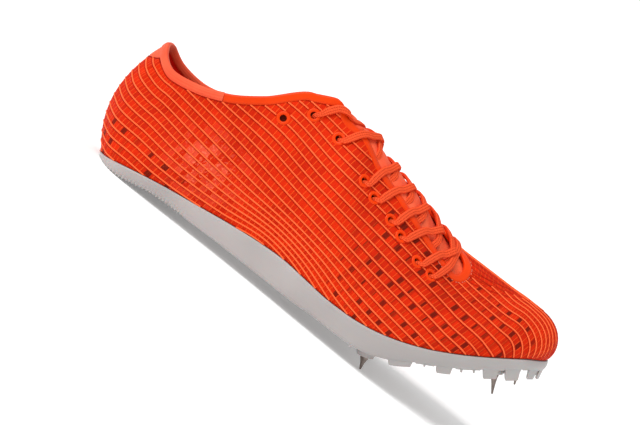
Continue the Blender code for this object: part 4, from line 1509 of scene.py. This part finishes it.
# Small teeth between the lugs: stations and how far they hang, in metres
teeth = [
    Lug(10.70, 10.80, 0.0011),
    Lug(13.24, 13.32, 0.0016),
    Lug(14.52, 14.60, 0.0021),
    Lug(14.94, 15.02, 0.0021),
]
# Low webs between the lugs
webs = [
    Lug(12.88, 13.70, 0.0006),
    Lug(14.27, 15.30, 0.0006),
    Lug(15.86, 16.12, 0.0006),
    Lug(16.66, 17.52, 0.0006),
]
Pin = namedtuple("Pin", "name node station across boss")
pins = [
    Pin("pinRearOuter", "pin_rear_outer", 11.41, -0.66, 0.48),
    Pin("pinRearInner", "pin_rear_inner", 11.59, 0.74, 0.48),
    Pin("pinFrontOuter", "pin_front_outer", 15.85, -0.62, 0.50),
    Pin("pinFrontInner", "pin_front_inner", 16.90, 0.42, 0.50),
]


SoleSection = namedtuple("SoleSection", "top base centre out hollow")


def soleSection(side, s):
    # The wall's top and bottom edge, the middle of the underside, the way out and the waist's hollow
    seat = footPoint(side, s)
    out = outward(side, s)
    edge = seat + out * solePlan["lip"]
    top = Vector((edge.x, edge.y, edge.z - shoe["seatGap"]))
    base = Vector((share("under.x", s) * shoe["length"] + (edge.x - seat.x) - out.x * solePlan["draft"],
                   edge.y - out.y * solePlan["draft"], share("under.z", s) * shoe["toeRise"]))
    centre = Vector((share("under.x", s) * shoe["length"], share("foot.axis", s) * shoe["ballWidth"], base.z))
    waist = min(max((s - solePlan["waistStart"]) / (solePlan["waistEnd"] - solePlan["waistStart"]), 0.0), 1.0)
    hollow = solePlan["waistHollow"] * math.sin(math.pi * waist) ** 2
    return SoleSection(top, base, centre, out, hollow)


def soleBase(across, s):
    # A spot on the underside, a share of the way out from its middle, and which way is down there
    side = -1 if across < 0 else 1
    here = soleSection(side, s)
    t = abs(across)
    spot = here.centre + (here.base - here.centre) * t
    spot.z += here.hollow * (1 - t * t)
    travel = soleSection(side, s + 0.05).centre - soleSection(side, s - 0.05).centre
    travel.y = 0.0
    return spot, Vector((travel.z, 0.0, -travel.x)).normalized()


def soleFinish(name):
    made = Finish(name)
    place = made.place()
    cloud = made.noise(place, 22.0)
    grain = made.noise(place, 1900.0)
    speck = made.noise(place, 260.0, 4.0)
    colour = made.blend(cloud.smooth(0.3, 0.7) * 0.6, (0.43, 0.405, 0.395), (0.33, 0.308, 0.300))
    colour = made.blend(speck.smooth(0.66, 0.74) * 0.12, colour, (0.30, 0.27, 0.25))
    made.set(colour=colour, roughness=0.34 + grain * 0.16, subsurface=0.18, subsurfaceScale=0.004,
             coat=0.10, coatRoughness=0.3, specular=0.45)
    made.bump(grain * 0.4 + cloud * 0.6, 0.00008)
    return made


solePlastic = soleFinish("solePlastic")


def ripple(x):
    # Fine teeth across the underside of the heel
    into = smoothStep(*solePlan["rippleStart"], x) * (1 - smoothStep(*solePlan["rippleEnd"], x))
    return solePlan["rippleDepth"] * abs((x / solePlan["ripplePitch"]) % 1.0 - 0.5) * 2 * into


def makeSole():
    points = []
    faces = []
    fine = [solePlan["fineStart"] + k * solePlan["fineStep"] for k in range(solePlan["fineCount"])]
    stations = sorted(set(upperStations(solePlan["stationStep"]) + fine))
    for side in (-1, 1):
        start = len(points)
        for s in stations:
            top, base, centre, out, hollow = soleSection(side, s)
            topMiddle = Vector((footPoint(side, s).x, centre.y, top.z))
            row = [topMiddle.lerp(top, k / 4) for k in range(4)]
            row.append(top.lerp(topMiddle, 0.012))
            wallRows = solePlan["wallRows"]
            for k in range(wallRows + 1):
                t = k / wallRows
                spot = top.lerp(base, t) + out * (solePlan["bulge"] * math.sin(math.pi * t))
                if k == 0:
                    spot += Vector((0, 0, -0.0002))
                if k == wallRows:
                    spot += Vector((0, 0, 0.0003))
                spot.z += ripple(spot.x) * smoothStep(0.55, 1.0, t)
                row.append(spot)
            for k in range(solePlan["bottomRows"] + 1):
                t = 1 - k / solePlan["bottomRows"]
                t = 0.988 if k == 0 else t
                spot = centre.lerp(base, t)
                spot.z += hollow * (1 - t * t)
                spot.z += ripple(spot.x)
                row.append(spot)
            points += row
        faces += gridFaces(len(stations), len(row), start, turned=side < 0)
    made = addPiece("solePlate", points, faces, [solePlastic])
    weldSeam(made)
    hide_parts("sole_plate")


makeSole()


def lugBlock(side, start, finish, hang, wide, points, faces):
    # A tapered block along the rim, with the edges taken off by its bevel
    first = len(points)
    steps = solePlan["lugSteps"]
    sink = solePlan["lugSink"]
    middle = soleBase(side, (start + finish) / 2)[0]
    for i in range(steps + 1):
        s = start + (finish - start) * i / steps
        here = soleSection(side, s)
        base = here.base
        down = soleBase(side, s)[1]
        inward = (here.centre - base).normalized()
        draw = (middle - base) * (1 - solePlan["lugDraft"])
        points += [
            base - inward * 0.0002 - down * sink,
            base + inward * 0.0008 + down * hang + draw,
            base + inward * wide * solePlan["lugDraft"] + down * hang + draw,
            base + inward * wide - down * sink]
    for i in range(steps):
        for j in range(4):
            a = first + i * 4 + j
            b = first + i * 4 + (j + 1) % 4
            faces.append((a, b, b + 4, a + 4))
    faces.append((first, first + 3, first + 2, first + 1))
    end = first + steps * 4
    faces.append((end, end + 1, end + 2, end + 3))


def makeLugs():
    points = []
    faces = []
    for rows, scale, width in ((lugs, shoe["toeRise"], "lugWidth"), (teeth, 1.0, "toothWidth"),
                               (webs, 1.0, "webWidth")):
        for lug in rows:
            for side in (-1, 1):
                lugBlock(side, lug.start, lug.end, lug.hang * scale, solePlan[width], points, faces)
    made = addPiece("soleLugs", points, faces, [solePlastic], smooth=False)
    bevel = made.modifiers.new("softEdges", "BEVEL")
    bevel.width = 0.0004
    bevel.segments = 2
    bevel.limit_method = "ANGLE"
    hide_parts("sole_plate")


makeLugs()


def turned(spot, direction, profile, points, faces, around):
    # A turned shape: profile of (along, radius) from its foot outwards
    side = direction.cross(Vector((0, 1, 0))).normalized()
    other = direction.cross(side).normalized()
    start = len(points)
    for along, radius in profile:
        for k in range(around):
            turn = 2 * math.pi * k / around
            reach = (side * math.cos(turn) + other * math.sin(turn)) * radius
            points.append(spot + direction * along + reach)
    faces += gridFaces(len(profile), around, start, closed=True)
    faces.append(tuple(range(start, start + around)))
    faces.append(tuple(reversed(range(len(points) - around, len(points)))))


def steelFinish(name):
    made = Finish(name)
    place = made.place()
    ring = made.noise(place, 900.0)
    smear = made.noise(place, 150.0)
    colour = made.blend(smear.smooth(0.35, 0.7), (0.30, 0.25, 0.22), (0.13, 0.10, 0.09))
    made.set(colour=colour, metallic=1.0, roughness=0.24 + ring * 0.2)
    made.bump(ring, 0.00004)
    return made


pinSteel = steelFinish("pinSteel")


def makePins():
    # Turned steel pins in bosses; those that stand on the floor end there
    bossPoints = []
    bossFaces = []
    root = solePlan["bossRadius"]
    tip = solePlan["bossTip"]
    wide = solePlan["pinRadius"]
    thin = solePlan["pinTip"]
    for pin in pins:
        spot, down = soleBase(pin.across, pin.station)
        height = pin.boss * solePlan["bossReach"]
        turned(spot, down, [
            (-0.0012, root), (0.0, root), (height * 0.5, (root + tip) / 2), (height - 0.0003, tip + 0.0001),
            (height, tip - 0.0003), (height, 0.0032), (height - 0.0004, 0.0030), (height - 0.0004, 0.0010),
        ], bossPoints, bossFaces, 36)
        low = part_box(pin.node)[0]
        foot = spot + down * (height + shoe["seatGap"])
        length = (foot.z - thin * abs(down.x)) / -down.z
        if low.z > solePlan["pinLifted"]:
            length = solePlan["pinLength"]
        points = []
        faces = []
        turned(foot, down, [
            (0.0, wide * 0.86), (0.0002, wide), (0.0010, wide), (0.0014, wide * 0.86), (0.0018, wide * 0.80),
            (length * 0.5, wide * 0.50), (length * 0.8, wide * 0.32), (length - 0.0002, thin * 1.05),
            (length, thin * 0.7),
        ], points, faces, 28)
        made = addPiece(pin.name, points, faces, [pinSteel])
        splitEdges(made, 40)
        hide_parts(pin.node)
    made = addPiece("pinBosses", bossPoints, bossFaces, [solePlastic])
    splitEdges(made, 38)
    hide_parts("sole_plate")


makePins()
print("sole, lugs and pins made")


# Insole and tongue

insolePlan = dict(thick=0.0022, inset=0.0019)
tonguePlan = dict(
    thick=0.0016, depth=0.0026, lap=0.0090, start=7.45, end=13.50, steps=90, across=20,
    bulge=0.0027, bulgeStart=(7.8, 8.6), bulgeEnd=(10.2, 11.6),
    fold=0.0009, foldStart=(11.6, 12.6), crease=0.0004,
)


def insoleFinish(name):
    made = Finish(name)
    weave = made.cells(900.0)
    shade = made.noise(made.place(), 30.0)
    amount = weave.smooth(0.1, 0.7) * 0.4 + shade * 0.3
    colour = made.blend(amount, (0.46, 0.022, 0.006), (0.66, 0.050, 0.014))
    made.set(colour=colour, roughness=0.9, sheen=0.3, specular=0.2)
    made.bump(weave, 0.00020)
    return made


def tongueFinish(name):
    made = Finish(name)
    shade = made.noise(made.place(), 60.0)
    fine = made.cells(1500.0)
    colour = made.blend(shade.smooth(0.3, 0.7), (1.0, 0.16, 0.058), (0.90, 0.090, 0.024))
    colour = made.blend(fine.smooth(0.2, 0.8) * 0.15, colour, (0.80, 0.06, 0.02))
    made.set(colour=colour, roughness=0.6, sheen=0.1, sheenTint=(1.0, 0.6, 0.5), specular=0.25)
    made.bump(fine, 0.00012)
    return made


def makeInsole():
    points = []
    faces = []
    stations = upperStations(0.15)
    for side in (-1, 1):
        start = len(points)
        for s in stations:
            rim = footPoint(side, s, insolePlan["inset"])
            spine = (rim + footPoint(-side, s, insolePlan["inset"])) / 2
            row = [spine.lerp(rim, t) for t in (0.0, 0.3, 0.6, 0.85, 0.96, 1.0)]
            for spot in row:
                spot.z = bedHeight(spot.x) + shoe["seatGap"]
            lifts = (1.0, 1.0, 1.0, 1.05, 1.1, 0.8)
            points += row + [spot + Vector((0, 0, insolePlan["thick"] * lift))
                             for spot, lift in reversed(list(zip(row, lifts)))]
        faces += gridFaces(len(stations), 12, start, turned=side > 0)
    made = addPiece("insole", points, faces, [insoleFinish("insoleCloth")])
    weldSeam(made)
    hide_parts("insole")


def tongueFold(s, k, middle):
    # How far the tongue swells towards the laces, with soft folds near the toe
    bulge = smoothStep(*tonguePlan["bulgeStart"], s) * (1 - smoothStep(*tonguePlan["bulgeEnd"], s))
    fold = tonguePlan["bulge"] * smoothStep(0.0, 0.45, middle) * bulge
    wave = math.sin(k / tonguePlan["across"] * 17.0 + s * 1.3)
    fold += tonguePlan["fold"] * smoothStep(*tonguePlan["foldStart"], s) * wave * middle
    return fold + tonguePlan["crease"] * math.sin(s * 9.0 + k * 0.25) * middle


def makeTongue():
    points = []
    faces = []
    across = tonguePlan["across"]
    for i in range(tonguePlan["steps"] + 1):
        t = i / tonguePlan["steps"]
        s = tonguePlan["start"] + (tonguePlan["end"] - tonguePlan["start"]) * t
        rows = []
        for side in (-1, 1):
            opening = edgeHeight(side, s) if s < shoe["throatEnd"] else 1.0
            outer = heightAt(side, s, runAt(side, s, opening) + tonguePlan["lap"])
            rows.append([(side, outer + (1 - outer) * k / (across // 2)) for k in range(across // 2 + 1)])
        whole = rows[0][:-1] + rows[1][::-1]
        for depth in (tonguePlan["depth"], tonguePlan["depth"] + tonguePlan["thick"]):
            line = []
            for k, (side, h) in enumerate(whole):
                spot = skin(side, s, h)
                normal = skinNormal(side, s, h)
                middle = 1 - abs(k / across * 2 - 1)
                line.append(spot - normal * (depth - tongueFold(s, k, middle)))
            if depth > tonguePlan["depth"]:
                line.reverse()
            points += line
    size = 2 * (across + 1)
    faces = gridFaces(tonguePlan["steps"] + 1, size, closed=True)
    half = size // 2
    for start in (0, tonguePlan["steps"] * size):
        for j in range(half - 1):
            faces.append((start + j, start + j + 1, start + size - 2 - j, start + size - 1 - j))
    made = addPiece("tongue", points, faces, [tongueFinish("tongueCloth")])
    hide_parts("tongue")


makeInsole()
makeTongue()
print("insole and tongue made")


# Laces through the eyelets: how far they ride off the upper, and lean to the toe in stations
laceRoute = dict(lift=0.0013, crown=0.0002, corner=1.15, lean=0.50, firstLean=0.95)
laceStations = [stationFor(-1, eyelet.inset, eyelet.along * shoe["length"]) for eyelet in eyelets]


def laceSpot(side, s, inset, lift):
    # A negative inset lies over the opening, as a share of the way from the edge to the middle
    edge = edgeHeight(side, s)
    if inset > 0:
        h = heightBelow(side, s, inset)
        up = skinNormal(side, s, h)
        return skin(side, s, h) + up * lift, up
    h = edge + (1 - edge) * -inset
    if share("top.gap", s, True) <= 0:
        up = skinNormal(side, s, h)
        return skin(side, s, h) + up * lift, up
    here = skin(side, s, edge)
    far = skin(-side, s, edgeHeight(-side, s))
    up = (skinNormal(side, s, edge) + skinNormal(-side, s, edge) + Vector((0, 0, 1))).normalized()
    if inset == 0:
        up = (skinNormal(side, s, edge) + up).normalized()
        lift *= laceRoute["corner"]
    crown = laceRoute["crown"] * (1 - (1 + inset) ** 2)
    return here.lerp(far, -inset / 2) + up * (lift + crown), up


def laceRows(rows):
    # Rows of (side, station, inset, lift, squeeze) as a route for the band
    route = []
    for side, s, below, raised, squeeze in rows:
        spot, up = laceSpot(side, s, below, raised)
        route.append((spot, up, squeeze))
    return route


def strandRoute(side, number, over):
    # One strand, out of its eyelet, over the opening and under the film of the far side, as rows
    # of (side, station, share of the lean, inset, lift, squeeze)
    start, finish = laceStations[number:number + 2]
    inset, farInset = [eyelet.inset for eyelet in eyelets[number:number + 2]]
    pitch = finish - start
    lift = laceRoute["lift"]
    top = lift + (lacePlan["thick"] * 0.85 if over else 0.0)
    hidden = -shoe["wall"] - 0.0009
    lean = laceRoute["firstLean"] if number == 0 else laceRoute["lean"]
    rows = [
        (side, start + 0.00, 0.0, inset + 0.0008, hidden - 0.0004, 0.60),
        (side, start + 0.05, 0.0, inset - 0.0002, -0.0006, 0.60),
        (side, start + 0.11 + pitch * 0.04, 0.08, inset - 0.0014, lift * 0.75, 0.74),
        (side, start + 0.09 + pitch * 0.12, 0.20, inset * 0.68, lift, 1.0),
        (side, start + 0.03 + pitch * 0.24, 0.44, inset * 0.32, lift, 1.0),
        (side, start + pitch * 0.33, 0.66, 0.0, lift, 1.0),
        (side, start + pitch * 0.42, 0.82, -0.30, lift, 1.0),
        (side, start + pitch * 0.56, 1.0, -0.96, top, 1.0),
        (-side, start + pitch * 0.72, 1.0, -0.55, lift * 0.4, 1.0),
        (-side, start + pitch * 0.84, 0.75, -0.12, -0.0009, 0.96),
        (-side, start + pitch * 0.94, 0.40, farInset * 0.35, hidden, 0.85),
        (-side, finish, 0.0, farInset * 0.90, hidden, 0.65),
    ]
    toeMost = shoe["throatEnd"] - 0.35
    return laceRows([(place, min(s + lean * leaning, toeMost), *rest) for place, s, leaning, *rest in rows])


def barRoute(s):
    # The straight bar at the toe end, from one last eyelet to the other
    inset = eyelets[-1].inset
    lift = laceRoute["lift"]
    rows = []
    for side, order in ((-1, 1), (1, -1)):
        part = [
            (side, s, inset + 0.0008, -shoe["wall"] - 0.0012, 0.60),
            (side, s + 0.05, inset - 0.0002, -0.0006, 0.60),
            (side, s + 0.13, inset - 0.0014, lift * 0.75, 0.74),
            (side, s + 0.26, inset * 0.5, lift, 1.0),
            (side, s + 0.38, 0.0, lift, 1.0),
            (side, s + 0.40, -0.6, lift, 1.0)]
        rows += part[::order]
    return laceRows(rows)


for k in range(len(laceStations) - 1):
    pair = [strandRoute(-1, k, True), strandRoute(1, k, False)]
    piece = strapPiece("laceCross%d" % (k + 1), pair, lacePlan["width"], lacePlan["thick"])
    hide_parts("lace_cross_%d" % (k + 1))
bar = strapPiece("laceBar", [barRoute(laceStations[-1])], lacePlan["width"], lacePlan["thick"])
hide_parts("lace_bar")
print("laces run")


# Floor, light and background

stagePlan = dict(
    floor=(0.97, 0.97, 0.97), grain=(0.94, 0.94, 0.94), half=12.0, glow=0.16, horizon=1.06, sky=0.52,
    sunPower=2.2, sunSpread=38, sunFrom=(-0.62, -0.50, 0.95),
)


def makeStage():
    mesh = bpy.data.meshes.new("floor")
    half = stagePlan["half"]
    corners = [(-half, -half, 0), (half, -half, 0), (half, half, 0), (-half, half, 0)]
    mesh.from_pydata(corners, [], [(0, 1, 2, 3)])
    made = Finish("floorPaper")
    grain = made.noise(made.place(), 40.0)
    colour = made.blend(grain * 0.1, stagePlan["floor"], stagePlan["grain"])
    made.set(colour=colour, roughness=0.9, specular=0.1)
    made.plug(made.shader.inputs["Emission Color"], (1.0, 1.0, 1.0))
    made.plug(made.shader.inputs["Emission Strength"], stagePlan["glow"])
    mesh.materials.append(made.material)
    floor = addThing("floor", mesh)
    world = bpy.data.worlds.new("studio")
    bpy.context.scene.world = world
    studio = Finish("studio", world)
    direction = studio.node("ShaderNodeTexCoord", None, None, output="Generated")
    height = studio.node("ShaderNodeSeparateXYZ", None, [direction], output=2)
    strength = stagePlan["horizon"] - height.smooth(0.15, 0.40) * (stagePlan["horizon"] - stagePlan["sky"])
    studio.plug(studio.shader.inputs["Color"], (1.0, 1.0, 1.0))
    studio.plug(studio.shader.inputs["Strength"], strength)
    data = bpy.data.lights.new("softSun", "SUN")
    data.energy = stagePlan["sunPower"]
    data.angle = math.radians(stagePlan["sunSpread"])
    sun = addThing("softSun", data)
    sun.rotation_mode = "QUATERNION"
    sun.rotation_quaternion = Vector(stagePlan["sunFrom"]).to_track_quat("Z", "Y")
    bpy.context.scene.view_settings.view_transform = "Standard"


makeStage()
